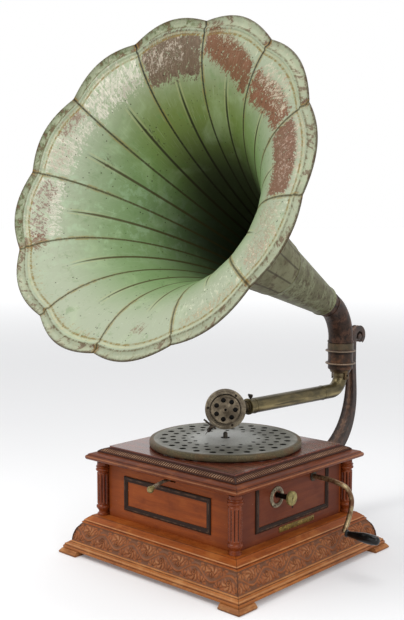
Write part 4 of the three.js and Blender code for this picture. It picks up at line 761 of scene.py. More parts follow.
def petal_paint(c):
    """Worn green paint with painted shade and highlights: u counts the petals from the first seam, r is the
    radius in millimetres.
    """
    f = Finish("worn green paint with painted shade and highlights", Specular_IOR_Level=0.15)
    u, v = f.split(f.node("UVMap", {"uv_map": "petals"}, {}))[:2]
    inside = v.above(0.0)
    r = abs(v) * 100
    cloud = f.noise(60, 4, 0.6, 0.5)
    blot = f.noise(16, 5, 0.68, 0.3)
    scuffs = f.noise(6, 5, 0.78)
    fine = f.noise(2.4, 3, 0.7)
    streaks = f.noise(f.point(u * 42, r * 0.045, 0.0), 4, 0.65)
    hatch = f.noise(f.point(u * 34 + r * 0.26, (u * 34 - r * 0.26) * 0.07, 0.0), 3, 0.6)
    petal = u.wrap(1.0)
    pace = FULL / PETALS
    gap = petal.least(1 - petal) * r * pace
    wander = blot * 22 + cloud * 16 - 19
    # A stronger, darker green lies in the upper and left petals and toward the throat, partly the paint and
    # partly painted shade, where the upper petals face down and deeper in the horn
    upper = u.band(0.6, 4.0, 1.1)
    inner = (r + wander + (1 - upper) * 24).ramp(232, 136)
    green = (inner * (0.7 + 0.3 * upper) + upper * 0.1) * (0.66 + 0.6 * cloud)
    base = f.mix(green, c.sage, f.mix(upper, c.moss, "69793d"))
    base = f.mix(cloud.ramp(0.5, 0.72) * 0.3, base, "b0c29a")
    base = f.mix(blot.ramp(0.54, 0.7) * 0.35, base, "57793f")
    base = f.mix((u.band(4.2, 6.4, 0.8) * blot.ramp(0.5, 0.36)) * 0.35, base, "a9c1a0")
    base = f.mix(streaks.ramp(0.55, 0.75) * r.ramp(70, 140) * 0.3, base, "b9c4a6")
    # The throat is painted dark, partly dark paint and partly painted shade deep in the horn, and it darkens
    # soonest on the upper left, where the petals face down
    deep = u.band(0.3, 3.6, 0.9) * 24 + u.band(0.3, 5.6, 0.9) * 14
    dark = (r + wander * 0.5 - deep).ramp(112, 48)
    base = f.mix(dark * 0.9, base, c.throat)
    speckle = (scuffs - 0.5) * 2.5 + (fine - 0.5) * 0.7 + (streaks - 0.5) * 0.9 + (hatch - 0.5) * 1.3
    for u0, u1, r0, r1, slope, code, share, full in PATCHES:
        across = u.band(u0, u1, 0.09)
        up = (r + (u - (u0 + u1) / 2) * slope).band(r0, r1, 14)
        weight = across * up * full
        covered = (weight + speckle - 0.6).ramp(-0.04, 0.22) * weight.ramp(0.03, 0.2)
        scraped = [min(1, part * 1.5 + 0.02) for part in linear(code)]
        tone = f.mix(streaks.ramp(0.46, 0.66) * 0.7, code, scraped)
        base = f.mix(covered * share, base, tone)
    # Scuffs and chips
    pale = scuffs.ramp(0.6, 0.72) * (r.ramp(170, 225) * 0.6 + 0.05)
    base = f.mix(pale * 0.7, base, c.scuff)
    chips = f.specks(8, 0.17) * blot.ramp(0.42, 0.58)
    base = f.mix(chips * 0.85, base, "33281b")
    # Lip, edge of the rim, and the lines of the ridge: a pale painted highlight on it, with darker lines of
    # painted shade inside and outside it
    mossy = u.band(2.1, 6.0, 0.15)
    lip = r.ramp(243.5, 246)
    lip_tone = f.mix(cloud.ramp(0.4, 0.65), "8f9379", "a3a68c")
    lip_tone = f.mix(mossy * (0.4 + 0.6 * blot.ramp(0.42, 0.56)), lip_tone, "5c6543")
    browned = (blot + (hatch - 0.5) * 0.5).ramp(0.53, 0.6) + gap.ramp(14, 3) * 0.5
    lip_tone = f.mix(browned * 0.75, lip_tone, "5f4433")
    lip_tone = f.mix(scuffs.ramp(0.56, 0.66) * 0.7, lip_tone, "b9b59d")
    bared = (0.35 + 0.65 * (blot + scuffs * 0.6).ramp(0.72, 0.86)).most(lip * mossy * 0.75)
    base = f.mix(lip * bared, base, lip_tone)
    base = f.mix((r + scuffs * 8).ramp(258.5, 262) * 0.85, base, "40301e")
    broken = (scuffs + (hatch - 0.5) * 0.8).ramp(0.42, 0.56)
    # Pale line: painted highlight on the ridge; the ochre line inside and the dark line outside: painted
    # shade
    ridge_lines = ((240.0, 242.6, 0.2, 0.3, "bdb792"), (236.4, 239.2, 0.25, 0.65, "7d6a35"),
                   (245.0, 247.5, 0.25, 0.5, "554a2c"))
    for low, high, least, more, tone in ridge_lines:
        base = f.mix((r + fine * 2).band(low, high, 0.9) * (least + more * broken), base, tone)
    # Seams and half creases, with painted highlights and painted shade along them
    near = (r + wander * 0.3).ramp(120, 170)
    # Painted highlight: an ochre line on the flanks of each seam fold, out from the throat
    seam_highlight = gap.band(1.6, 3.6, 0.8) * blot.ramp(0.4, 0.58) * near
    base = f.mix(seam_highlight * 0.6, base, c.ochre)
    # The dark seam line is darker on the upper petals, painted shade where they face down
    line = f.mix(upper, "453c20", "1b140c")
    seam = gap.ramp(2.3, 0.8) * (0.7 + 0.3 * fine.ramp(0.3, 0.6))
    base = f.mix(seam * 0.95, base, line)
    crease = abs(petal - 0.5) * r * pace
    short = r.ramp(190, 178)
    # A pale painted highlight beside each half crease, and painted shade in the crease itself
    base = f.mix(crease.band(2.6, 4.4, 0.8) * short * near * 0.35, base, "b4ae80")
    tapered = (crease + r.ramp(145, 190) * 1.7).ramp(2.8, 1.0)
    base = f.mix(tapered * short * (0.8 + 0.2 * blot), base, line)
    # Outside of the bell
    rear = f.mix(cloud.ramp(0.38, 0.62), c.patina, "77765a")
    rear = f.mix(blot.ramp(0.48, 0.64) * 0.8, rear, "4b3c2a")
    rear = f.mix(scuffs.ramp(0.6, 0.75) * 0.4, rear, "8f8e74")
    rear = f.mix(gap.ramp(2.4, 0.8) * 0.7, rear, "33281a")
    rough = fine * 0.2 + blot * 0.12 + 0.38
    return f.done(f.mix(inside, rear, base), rough, scuffs * 0.14 + fine * 0.08, 0.6)


# Worn places: petals counted from the first seam, from and to; radii from and to in millimetres;
# how they slope; colour, strength, and how fully they are covered
PATCHES = (
    # Brown-grey, scratched pale toward the left
    (2.02, 2.98, 182, 244, 0, "5e4b3b", 0.95, 1.05),
    (2.3, 2.99, 196, 240, 0, "aaa08f", 0.7, 0.58),
    (2.05, 2.62, 178, 192, 0, "4a3728", 0.85, 0.85),
    # Rust that runs down to the right
    (1.02, 1.98, 188, 238, -38, "673d25", 0.92, 1.0),
    (1.0, 1.8, 220, 246, -8, "a4a78c", 0.7, 0.66),
    # Rust along the inner side, scraped pale above
    (0.02, 0.98, 178, 226, 14, "6e412b", 0.92, 1.0),
    (0.1, 0.9, 198, 242, 0, "b5ae98", 0.75, 0.66),
    (0.1, 0.8, 226, 244, 0, "77543f", 0.6, 0.62),
    # The tall brown petal
    (11.03, 11.99, 180, 231, -4, "6c4938", 0.94, 1.15),
    (11.0, 12.0, 222, 246, 0, "b0a893", 0.75, 0.72),
    (11.1, 11.9, 188, 226, 0, "a39080", 0.7, 0.56),
    # Grey-brown scuffs
    (10.05, 10.98, 184, 236, 26, "8b7a66", 0.62, 0.72),
    (10.05, 10.7, 208, 240, -30, "8c6a55", 0.6, 0.6),
    (9.05, 9.95, 216, 241, 0, "8a6c48", 0.7, 0.66),
    (9.0, 11.0, 185, 245, 0, "bfc0a8", 0.5, 0.48),
    # Whitish
    (3.02, 3.99, 190, 246, 0, "bfbbab", 0.85, 0.74),
    (3.02, 3.5, 190, 215, 0, "8c8272", 0.6, 0.62),
    (3.5, 4.02, 200, 236, 0, "b7b3a2", 0.7, 0.62),
    # Whitish with brown hatching
    (4.02, 4.98, 192, 246, 0, "bab6a5", 0.85, 0.76),
    (4.02, 4.5, 214, 246, 0, "6b5240", 0.8, 0.74),
    (4.5, 4.98, 200, 240, 0, "8a7b6a", 0.6, 0.62),
    (5.02, 5.98, 190, 246, 0, "b9b6a6", 0.85, 0.78),
    (5.05, 5.96, 204, 240, 0, "674e40", 0.8, 0.71),
    (5.85, 6.1, 208, 258, 0, "6b4a36", 0.8, 0.9),
    # Small worn places below and dark spots in the left petals
    (4.3, 4.6, 150, 172, 0, "4c4436", 0.7, 0.6),
    (3.35, 3.5, 120, 160, 0, "33302a", 0.7, 0.56),
    (8.36, 8.62, 206, 224, 0, "77604c", 0.75, 0.8),
    (7.1, 7.9, 226, 244, 0, "8a7350", 0.6, 0.62),
    (6.1, 6.9, 222, 243, 0, "8a7b58", 0.5, 0.55),
)


class GRAMOPHONE_OT_bell(bpy.types.Operator):
    """Bell of twelve folded petals with seams, half creases, a ridge and a curled lip"""

    bl_idname = "gramophone.bell"
    bl_label = "Horn bell"

    def execute(self, context):
        h = mm(context.scene.horn_sizes)
        piece = bell_mesh(h)
        tidy(piece, 0.0)
        finish = petal_paint(context.scene.paint_colours)
        place(piece, "horn_petals", finish, "horn", ["horn_bell"], 50, horn_frame(h))
        return {"FINISHED"}


class GRAMOPHONE_OT_neck(bpy.types.Operator):
    """Conical neck and the elbow that turns in the collar"""

    bl_idname = "gramophone.neck"
    bl_label = "Horn neck and elbow"

    def execute(self, context):
        h, c = mm(context.scene.horn_sizes), context.scene.paint_colours
        slope = (h.neck - h.small) / (h.neck_end - h.neck_start)
        start, end = h.neck_start, h.neck_end
        line = [(h.small + out, start + up) for out, up in
                ((-1.6, 0), (1.2, 0), (1.6, 0.6), (1.6, 3.4), (1.1, 4))]
        line += [(h.small + slope * s, start + s) for s in (5, 30, 60, 90, 120, 150, 168)]
        line += [(h.neck + out, end - down) for out, down in
                 ((-1.0, 8), (0.1, 6.2), (0.6, 4.5), (0.1, 2.6), (-0.3, 1.2), (0, 0), (-1.6, 0))]
        neck = ringed(line, 96, loop=True)
        inner = neck.data.attributes.new("inner", "FLOAT", "POINT")
        for vertex in neck.data.vertices:
            across, along = math.hypot(vertex.co.x, vertex.co.y) / MM, vertex.co.z / MM
            wall = h.small + slope * (along - start)
            inner.data[vertex.index].value = 1.0 if across < wall - 1.2 or along > end - 0.1 else 0.0
        # Painted shade: the inside of the neck is near black, from the last colour given below
        patina = metal("grey-green patina with painted shade inside", c.patina, "7f8264", 0.5, 0.15, 20, "4b4029", 0.4, "2b2416", 0.12,
                       "0f0e08")
        place(neck, "horn_cone", patina, "horn", ["horn_neck"], 30, horn_frame(h))
        rusty = metal("rusty brown paint", "372820", "573d30", 0.46, 0.3, 17, "221914", 0.42, "241b15", 0.1)
        seat, corner = Vector((0, 0, 322.8)), Vector((0, 0, h.height))
        way = Vector((0, -math.cos(h.tilt), math.sin(h.tilt)))
        bend, share = 47, 0.46 * 1.2
        low, out = corner - Vector((0, 0, bend)), corner + way * bend
        curve = bezier(low, low.lerp(corner, share), out.lerp(corner, share), out, 16)
        elbow = pipe([seat] + curve + [corner + way * 112], h.elbow, 14)
        spigot = ringed([(19, 305.8), (20.8, 305.8), (20.8, 322.8), (24.2, 322.8), (24.9, 323.5),
                         (24.9, 326.2), (24.2, 326.8), (22.4, 327.2), (21.4, 325)], 64, loop=True)
        ferrule = ringed([(22.1, 71), (24.9, 71), (25.4, 71.6), (25.4, 79), (22.1, 79)], 64, loop=True)
        band = ringed([(22.6, 52), (24.1, 52.4), (24.5, 53.5), (24.1, 54.6), (22.6, 55)], 64, loop=True)
        for ring in (ferrule, band):
            moved(ring, shift(0, 0, h.height) @ about("X", QUARTER - h.tilt))
        whole = joined(elbow, spigot, ferrule, band)
        frame = home() @ shift(0, h.stand) @ about("Z", h.turn)
        place(whole, "horn_bend", rusty, "horn", ["horn_elbow"], 35, frame)
        return {"FINISHED"}


# Bracket and collar

BRACKET_BACK = 232
BRACKET_HEAD = 329


def bracket_line(c):
    """Middle line of the bracket seen from the side, y and z, with half its thickness."""
    wall, back, foot, head = c.half, BRACKET_BACK, 90, BRACKET_HEAD
    line = [Vector((p[0], p[1])) for p in bezier(
        (wall + 3, foot, 0), (wall + back * 0.58, foot - 5.75, 0), (wall + back, foot + back * 0.12, 0),
        (wall + back, foot + back * 0.62, 0), 70,
    )]
    bends = len(line)
    top = line[-1].y
    line += [Vector((wall + back, top + (head - top) * k / 24)) for k in range(1, 25)]
    curl, curls = 20, 30
    hub = Vector((wall + back + curl, head))
    for share in (i / curls for i in range(1, curls + 1)):
        line.append(hub + Vector(polar(curl * (1 - 0.45 * share), math.pi * (1 - 1.3 * share))))
    halves = []
    for i in range(len(line)):
        tail = max(0, (i - (len(line) - 1 - curls)) / curls)
        halves.append((23 - 10 * min(1, i / bends) - 4 * tail) / 2)
    return line, halves, foot, head


def leaf_chain(s, t):
    """Height of a chain of leaves at s millimetres along and t from -1 to 1 across."""
    pitch = 13.0
    height = 0.0
    for shift_by, wide in ((0.0, 1.0), (0.5, 0.62)):
        k = (s / pitch + shift_by) % 1
        spread = wide * math.sin(math.pi * k**0.75) ** 0.6
        inside = max(0.0, 1 - abs(t) / max(0.04, spread))
        veins = 0.3 * math.cos(FULL * (k * 2.4 + abs(t) * 1.3))
        height = max(height, inside**0.6 * (0.7 + veins) * (0.75 + 0.25 * k))
    return max(0.0, min(1.0, height + 0.25 * math.exp(-((t / 0.07) ** 2))))


class GRAMOPHONE_OT_bracket(bpy.types.Operator):
    """Cast bracket with a chain of leaves, its scroll, back plate and collar"""

    bl_idname = "gramophone.bracket"
    bl_label = "Bracket and collar"

    def execute(self, context):
        c, colours = mm(context.scene.case_sizes), context.scene.paint_colours
        line, halves, foot, head = bracket_line(c)
        across = [-1, -0.97, -0.9, -0.8] + [t / 12 for t in range(-9, 10)] + [0.8, 0.9, 0.97, 1]
        rows = len(across) * 2 + 4
        places, relief = np.zeros((len(line), rows, 3)), np.zeros((len(line), rows))
        carved_share = 0.78
        run = 0.0
        for i, point in enumerate(line):
            before, after = line[max(0, i - 1)], line[min(len(line) - 1, i + 1)]
            way = (after - before).normalized()
            run += (point - before).length
            normal = Vector((-way.y, way.x))
            climb = min(1, max(0, (point.y - foot) / (head - foot)))
            half = 16.5 * (1 - (1 - 14 / 33) * min(1, climb * 1.25))
            j = 0
            for sign in (1, -1):
                for t in across[::sign]:
                    depth = halves[i] - 0.9 * max(0, (abs(t) - 0.9) / 0.1) ** 2
                    rise = 0.0
                    if sign > 0:
                        if abs(t) < carved_share:
                            rise = leaf_chain(run, t / carved_share)
                        margin = 1.0 if abs(t) > 0.8 else 0.0
                        depth += 2.2 * max(rise, margin) - 2.4
                    spot = point + normal * sign * depth
                    places[i, j] = (half * t, spot.x, spot.y)
                    relief[i, j] = rise
                    j += 1
                for k in (0.4, -0.4):
                    spot = point + normal * (sign * k * halves[i])
                    places[i, j] = (half * sign, spot.x, spot.y)
                    j += 1
        piece = from_grid("bracket", places, False, True, relief)
        edit(piece, "DESELECT")
        bpy.ops.mesh.select_non_manifold()
        bpy.ops.mesh.edge_face_add()
        leave()
        tidy(piece)
        plate = box(-30, 30, c.half, c.half + 6, 69, 137, 1.2, 3)
        eye = ringed([(0, -11), (4.6, -11), (6.2, -9.6), (6.6, -7), (6.6, 7), (6.2, 9.6), (4.6, 11),
                      (0, 11)], 40)
        flatten = Matrix.Scale(0.62, 4, (0, 0, 1))
        moved(eye, shift(0, c.half + BRACKET_BACK + 20, head) @ about("Y", QUARTER) @ flatten)
        f = Finish("cast iron")
        relief = f.attribute("relief")
        cloud, fine = f.noise(14, 4, 0.6), f.noise(2, 3, 0.6)
        tone = f.mix(cloud.ramp(0.4, 0.65), colours.iron, "4a352b")
        tone = f.mix(relief.ramp(0.1, 0.6) * 0.7, tone, f.mix(cloud.ramp(0.35, 0.6), "5c4031", "7d5f49"))
        tone = f.mix(fine.ramp(0.5, 0.75) * 0.5, tone, "1d1613")
        iron = f.done(tone, fine * 0.25 + 0.32, fine * 0.2, 0.7, cloud * 0.3 + 0.15)
        whole = joined(piece, plate, eye)
        place(whole, "bracket_casting", iron, BODY, ["horn_bracket"], 40, home())

        y = context.scene.horn_sizes.stand / MM
        ring = ringed([
            (17.7, 272), (23, 272), (23.6, 272.8), (23.6, 281), (24.4, 281.4), (28, 282), (28.7, 282.8),
            (28.7, 284), (28, 284.8), (25.2, 285.2), (24, 286), (23.6, 290), (23.4, 295), (23.7, 301),
            (24.2, 305), (25.4, 305.8), (28, 306), (28.7, 306.7), (28.7, 307.9), (28, 308.6), (25.4, 309.2),
            (24.6, 310.2), (24.6, 320), (24.2, 322), (23.4, 322.5), (21.4, 322.5), (21.4, 290), (17.7, 290),
        ], 72, loop=True)
        collar = joined(ring, box(-9, 9, 23, c.half + BRACKET_BACK - 6.5 - y, 284, 306, 1.6, 3))
        f = Finish("worn collar with painted shadows and highlights", Specular_IOR_Level=0.2)
        cloud, fine = f.noise(14, 4, 0.6, 0.4), f.noise(2.2, 3, 0.6)
        tone = f.mix(cloud.ramp(0.42, 0.66), "382b23", "614330")
        # Painted shadow under each flange, and a painted highlight on each flange's edge
        tone = f.mix((f.z.band(277, 281, 1.2) + f.z.band(301.5, 305, 1.2)) * 0.6, tone, "1a1310")
        tone = f.mix((f.z.band(282.6, 284.8, 0.5) + f.z.band(306.6, 308.6, 0.5)) * 0.65, tone, "9f8d79")
        tone = f.mix(f.z.band(310.5, 322.5, 1) * 0.5, tone, "5d5540")
        tone = f.mix(fine.ramp(0.5, 0.75) * 0.5, tone, "211812")
        worn = f.done(tone, fine * 0.2 + 0.32, fine * 0.12, 0.6, cloud * 0.3 + 0.2)
        place(collar, "collar_casting", worn, BODY, ["bracket_collar"], 35, home() @ shift(0, y))
        return {"FINISHED"}


# Tone arm and sound box


def arm_frame(scene):
    arm = mm(scene.arm_sizes)
    return home() @ shift(0, scene.horn_sizes.stand / MM) @ about("Z", arm.swing)


def arm_brass(c):
    """Olive brass with a painted highlight along the middle and painted shade below."""
    f = Finish("olive brass tube with painted highlights", Specular_IOR_Level=0.3)
    streak = f.noise((7, 90, 7), 3, 0.55, 0.2)
    cloud = f.noise((20, 34, 12), 4, 0.6, 0.4)
    fine = f.noise((1.6, 3, 1.6), 3, 0.6)
    tone = f.mix(cloud.ramp(0.36, 0.66), c.brass, "6a5f42")
    # Painted highlights: the rubbed streak below the axis and a fainter one above it; painted shade along the
    # underside
    rubbed = (streak + cloud * 0.3).ramp(0.55, 0.75) * f.z.band(225, 231, 3)
    tone = f.mix(rubbed * 0.7, tone, c.bright_brass)
    tone = f.mix(streak.ramp(0.5, 0.7) * f.z.band(234, 241, 3) * 0.3, tone, "93845a")
    tone = f.mix(f.z.ramp(224, 219) * 0.8, tone, "1d170f")
    tone = f.mix(f.z.ramp(250, 260) * 0.75, tone, "5a4d37")
    tone = f.mix(fine.ramp(0.56, 0.76) * 0.3, tone, "2c2418")
    return f.done(tone, streak * 0.15 + fine * 0.12 + 0.22, fine * 0.08, 0.5, cloud * 0.2 + 0.55)


class GRAMOPHONE_OT_tone_arm(bpy.types.Operator):
    """Sleeve, tone arm tube with its ball and the thumb screw"""

    bl_idname = "gramophone.tone_arm"
    bl_label = "Tone arm"

    def execute(self, context):
        scene = context.scene
        a, c = mm(scene.arm_sizes), scene.paint_colours
        frame = arm_frame(scene)
        brass = arm_brass(c)
        aged = metal("sleeve brass", "3f3227", "6a5639", 0.4, 0.5, 14, "221912", 0.35)
        flare = ringed([(18, 265.9), (18.5, 266), (19.6, 268.4), (20.6, 270.9), (20.7, 271.9), (18, 271.9)],
                       72, loop=True)
        sleeve = joined(merged_copy("tonearm_sleeve"), moved(flare, frame))
        place(sleeve, "sleeve_turning", aged, "sleeve", ["tonearm_sleeve"], 35)
        bend = 28.2
        k = 0.5523 * bend
        top, low = a.ball, a.axis
        curve = bezier((0, 0, low + bend), (0, 0, low + bend - k), (0, -bend + k, low), (0, -bend, low), 20)
        straight = [Vector((0, y, low)) for y in (-60, -100, -140, -180, -220, -a.reach)]
        tube = pipe([Vector((0, 0, top))] + curve + straight, a.radius, 14)
        rings = []
        for spot, size, wide in ((-a.reach + 0.2, 0.9, 3.2), (-a.reach + 15, 0.5, 1.2), (-56, 0.6, 1.4)):
            line = ((-1.2, 0), (size * 0.6, 0), (size, 0.3), (size, 0.7), (size * 0.6, 1), (-1.2, 1))
            ring = ringed([(a.radius + out, wide * up) for out, up in line], 56, loop=True)
            rings.append(moved(ring, shift(0, spot, low) @ about("X", -QUARTER)))
        fresh()
        bpy.ops.mesh.primitive_uv_sphere_add(
            segments=40, ring_count=24, radius=14.4 * MM, location=(0, 0, top * MM)
        )
        ball = bpy.context.object
        apply_all(ball)
        whole = joined(tube, ball, *rings)
        place(whole, "arm_tube", brass, "tone_arm", ["tonearm_tube"], 35, frame)
        y = -a.reach + 8
        head = ringed([(0, 0), (1.6, 0), (1.6, 16.6), (3.1, 16.8), (3.4, 17.2), (3.4, 18.2), (3, 18.6),
                       (0, 18.6)], 24)
        moved(head, shift(0, y, low - 1.6))
        wing = box(-5.6, 5.6, y - 1.1, y + 1.1, low + 16.8, low + 21.4, 1.0, 3)
        dark = metal("dark steel", "26211d", "4a433a", 0.4, 0.6, 6)
        place(joined(head, wing), "thumb_turn", dark, "thumb", ["thumb_screw"], 35, frame)
        return {"FINISHED"}


class GRAMOPHONE_OT_sound_box(bpy.types.Operator):
    """Sound box on its curved neck, with its guard, diaphragm, needle lever and needle"""

    bl_idname = "gramophone.sound_box"
    bl_label = "Sound box"

    def execute(self, context):
        scene = context.scene
        a = mm(scene.arm_sizes)
        frame = arm_frame(scene)
        centre = Vector((16, -324.7, 238.4))
        normal = Vector((math.sin(a.box_turn), -math.cos(a.box_turn), 0))
        across = Vector((math.cos(a.box_turn), math.sin(a.box_turn), 0))
        basis = Matrix((across, Vector((0, 0, 1)), normal)).transposed().to_4x4()
        face = frame @ shift(*centre) @ basis
        aged = metal("aged brass", "5f5445", "92846f", 0.36, 0.5, 16, "473a2c", 0.3, "1e1812")
        pale = metal("pale aged brass", "6f6455", "968a75", 0.34, 0.5, 14, "544838", 0.3, "2a2219")
        rim = a.box
        body = ringed([
            (8, -14), (15.4, -14), (16, -13.6), (17.5, -12.4), (24, -12), (27.6, -11), (30, -9.4),
            (31.4, -7.6), (33.4, -7), (rim - 0.3, -6.4), (rim, -5.6), (rim, -3.4), (rim - 0.6, -2.9),
            (rim, -2.4), (rim, -0.6), (rim - 0.6, 0), (31.2, 0), (30.4, -0.5), (28.6, -0.5), (27.9, 0),
            (27.2, 0), (27.2, -3), (23, -3), (23, -8), (8, -8),
        ], 96, loop=True)
        screws = []
        for angle in (53, 175, -67):
            screw = ringed([(0, -0.5), (2.1, -0.5), (2.1, 0.5), (1.8, 0.9), (0, 1.15)], 20)
            screws.append(moved(screw, shift(*polar(29.4, math.radians(angle)))))
        place(body, "box_body", pale, "sound_box", ["soundbox_body"], 30, face)
        dark = metal("dark screws", "1b1613", "3a3028", 0.4, 0.6, 5)
        place(joined(*screws), "box_screws", dark, "sound_box", (), 30, face)
        cap = ringed([
            (23.8, -2.4), (25, -2.4), (25, 1.6), (24.6, 2.6), (23.6, 3.3), (22.4, 3.4), (21.6, 3.0), (9, 3.0),
            (8.2, 3.4), (6.6, 3.4), (5.6, 3.7), (4.9, 4.4), (3.6, 4.6), (0, 4.6), (0, 2.2), (22.6, 2.2),
            (23.8, 1.2),
        ], 84, loop=True)
        cutters = []
        for i in range(7):
            punch = ringed([(0, -1), (4.2, -1), (4.2, 6), (0, 6)], 28)
            cutters.append(moved(punch, shift(*polar(16.6, i / 7 * FULL))))
        cutters.append(ringed([(0, -1), (2.3, -1), (2.3, 7), (0, 7)], 20))
        cut_by(cap, joined(*cutters))
        place(cap, "box_guard", aged, "sound_box", ["soundbox_guard"], 30, face)
        # The mica is near black, partly its dark colour and partly painted shade seen through the guard's
        # holes
        film = Finish("mica film painted dark as shade", Specular_IOR_Level=0.1)
        layers = film.noise(9, 3, 0.6)
        film.put("Base Color", film.mix(layers.ramp(0.35, 0.65), "0c0a08", "1c1813"))
        film.put("Roughness", layers * 0.2 + 0.12)
        disc = ringed([(0, -2.9), (25.6, -2.9), (26, -2.7), (25.6, -2.45), (0, -2.4)], 64)
        place(disc, "mica_disc", film.material, "sound_box", ["diaphragm"], 30, face)

        end, low = -a.reach, a.axis
        back = centre - normal * 14
        curve = bezier((0, end, low), (0, end - 29, low), back - normal * 20, back, 22)
        neck = pipe([Vector((0, end + 20, low)), Vector((0, end + 8, low))] + curve, 9.4, 14)
        ring = ringed([(8.6, 0), (10.6, 0), (11.2, 0.6), (11.2, 2.9), (10.6, 3.5), (8.6, 3.5)], 48, loop=True)
        moved(ring, shift(0, end - 0.3, low) @ about("X", QUARTER))
        dusky = metal("dark neck brass", "2f281d", "5a4d35", 0.38, 0.5, 9, "18130e", 0.35)
        place(joined(neck, ring), "box_neck", dusky, "sound_box", ["soundbox_neck"], 35, frame)

        lean = math.radians(128)
        needle_frame = face @ about("Z", -lean)
        lying = shift(0, 0, -1.5) @ about("Y", QUARTER)
        bar = box(34.8, 37.6, -18, 8.2, -3, 1.2, 0.6, 2)
        chuck = ringed([(0, 35), (3, 35), (3.4, 36), (3.4, 46.5), (2.6, 48.2), (1.1, 48.4), (0, 48.4)], 28)
        moved(chuck, lying)
        grip = ringed([(0, -1.5), (1.5, -1.5), (1.5, 5.6), (1.9, 6), (1.9, 8.6), (1.5, 9), (0, 9)], 20)
        moved(grip, shift(45.3, 0, 0))
        post = ringed([(0, -3), (1.7, -3), (1.7, 2), (1.4, 2.4), (0, 2.5)], 18)
        moved(post, shift(36.2, -12.5, 0))
        steel = metal("darkened lever steel", "2a241f", "574c40", 0.36, 0.7, 6)
        whole = joined(bar, chuck, grip, post)
        place(whole, "needle_lever", steel, "sound_box", ["needle_bar"], 35, needle_frame)
        # The needle ends half a millimetre above the turntable's face
        record = scene.turntable_sizes.top / MM
        tip = (centre.z - record - 0.5) / math.sin(lean)
        needle = ringed([(0, 38), (0.8, 38), (0.8, tip - 8), (0.12, tip), (0, tip)], 16)
        moved(needle, lying)
        bright = metal("needle steel", "3c3833", "6a655d", 0.3, 0.7, 6)
        place(needle, "needle_point", bright, "sound_box", ["needle"], 35, needle_frame)
        return {"FINISHED"}


# Turntable


class GRAMOPHONE_OT_turntable(bpy.types.Operator):
    """Perforated turntable with its rolled rim, and the spindle"""

    bl_idname = "gramophone.turntable"
    bl_label = "Turntable"

    def execute(self, context):
        t, c = mm(context.scene.turntable_sizes), context.scene.paint_colours
        top, floor, r = t.top, t.floor, t.radius
        plate = ringed([
            (8, top - t.plate), (8, top), (14, top), (16, top - 0.3), (r - 9.5, top - 0.3), (r - 8, top),
            (r - 6, top), (r - 2.4, top - 0.2), (r - 0.8, top - 1.1), (r, top - 2.8), (r, floor + 2),
            (r - 0.6, floor + 0.6), (r - 2, floor), (r - t.skirt, floor), (r - t.skirt, top - t.plate),
        ], 128, loop=True)
        cutters = []
        model = ringed([(0, -5), (1, -5), (1, 5), (0, 5)], 28)
        # Rings of holes: radius, size of a hole, number, and the share of a step that the first is turned
        rings = ((55, 7.6, 12, 0.25), (70, 8.5, 24, 0), (88, 10, 24, 0.5), (104, 11.3, 24, 0))
        for ring, size, count, share in rings:
            for i in range(count):
                punch = model.copy()
                punch.data = model.data.copy()
                bpy.context.scene.collection.objects.link(punch)
                spot = shift(*polar(ring, (i + share) / count * FULL), top)
                punch.matrix_world = spot @ Matrix.Diagonal((size / 2, size / 2, 1, 1))
                cutters.append(punch)
        bpy.data.objects.remove(model)
        cutter = joined(*cutters)
        apply_all(cutter)
        cut_by(plate, cutter)
        f = Finish("dull turntable metal", Specular_IOR_Level=0.3)
        cloud, fine = f.noise(34, 4, 0.6, 0.4), f.noise(2.4, 3, 0.6)
        out = f.spindle_square().root()
        tone = f.mix(cloud.ramp(0.36, 0.64), c.steel, "929087")
        tone = f.mix(out.ramp(92, 34) * 0.75, tone, "b2b3b0")
        tone = f.mix(fine.ramp(0.5, 0.74) * 0.4, tone, "3c3a30")
        tone = f.mix(out.band(60, 112, 5) * (0.25 + 0.3 * cloud), tone, "504f46")
        rim = f.mix(cloud.ramp(0.45, 0.68), "504733", "62452d")
        rim = f.mix(fine.ramp(0.45, 0.7) * 0.5, rim, "7c7350")
        tone = f.mix(out.ramp(118.5, 121), tone, rim)
        # Painted shade: the walls of the holes and the underside of the plate are near black
        tone = f.mix(f.z.ramp(top - 0.7, top - 1.3) * out.ramp(122, 120), tone, "0c0b09")
        dull = f.done(tone, fine * 0.2 + 0.4, fine * 0.14, 0.5, cloud * 0.3 + 0.3)
        place(plate, "turntable_disc", dull, "turntable", ["turntable_platter"], 30, home())
        steel = metal("spindle steel", "1e1a16", "39332b", 0.34, 0.5, 8)
        place(merged_copy("spindle"), "spindle_turning", steel, "turntable", ["spindle"], 35)
        return {"FINISHED"}


# Cabinet


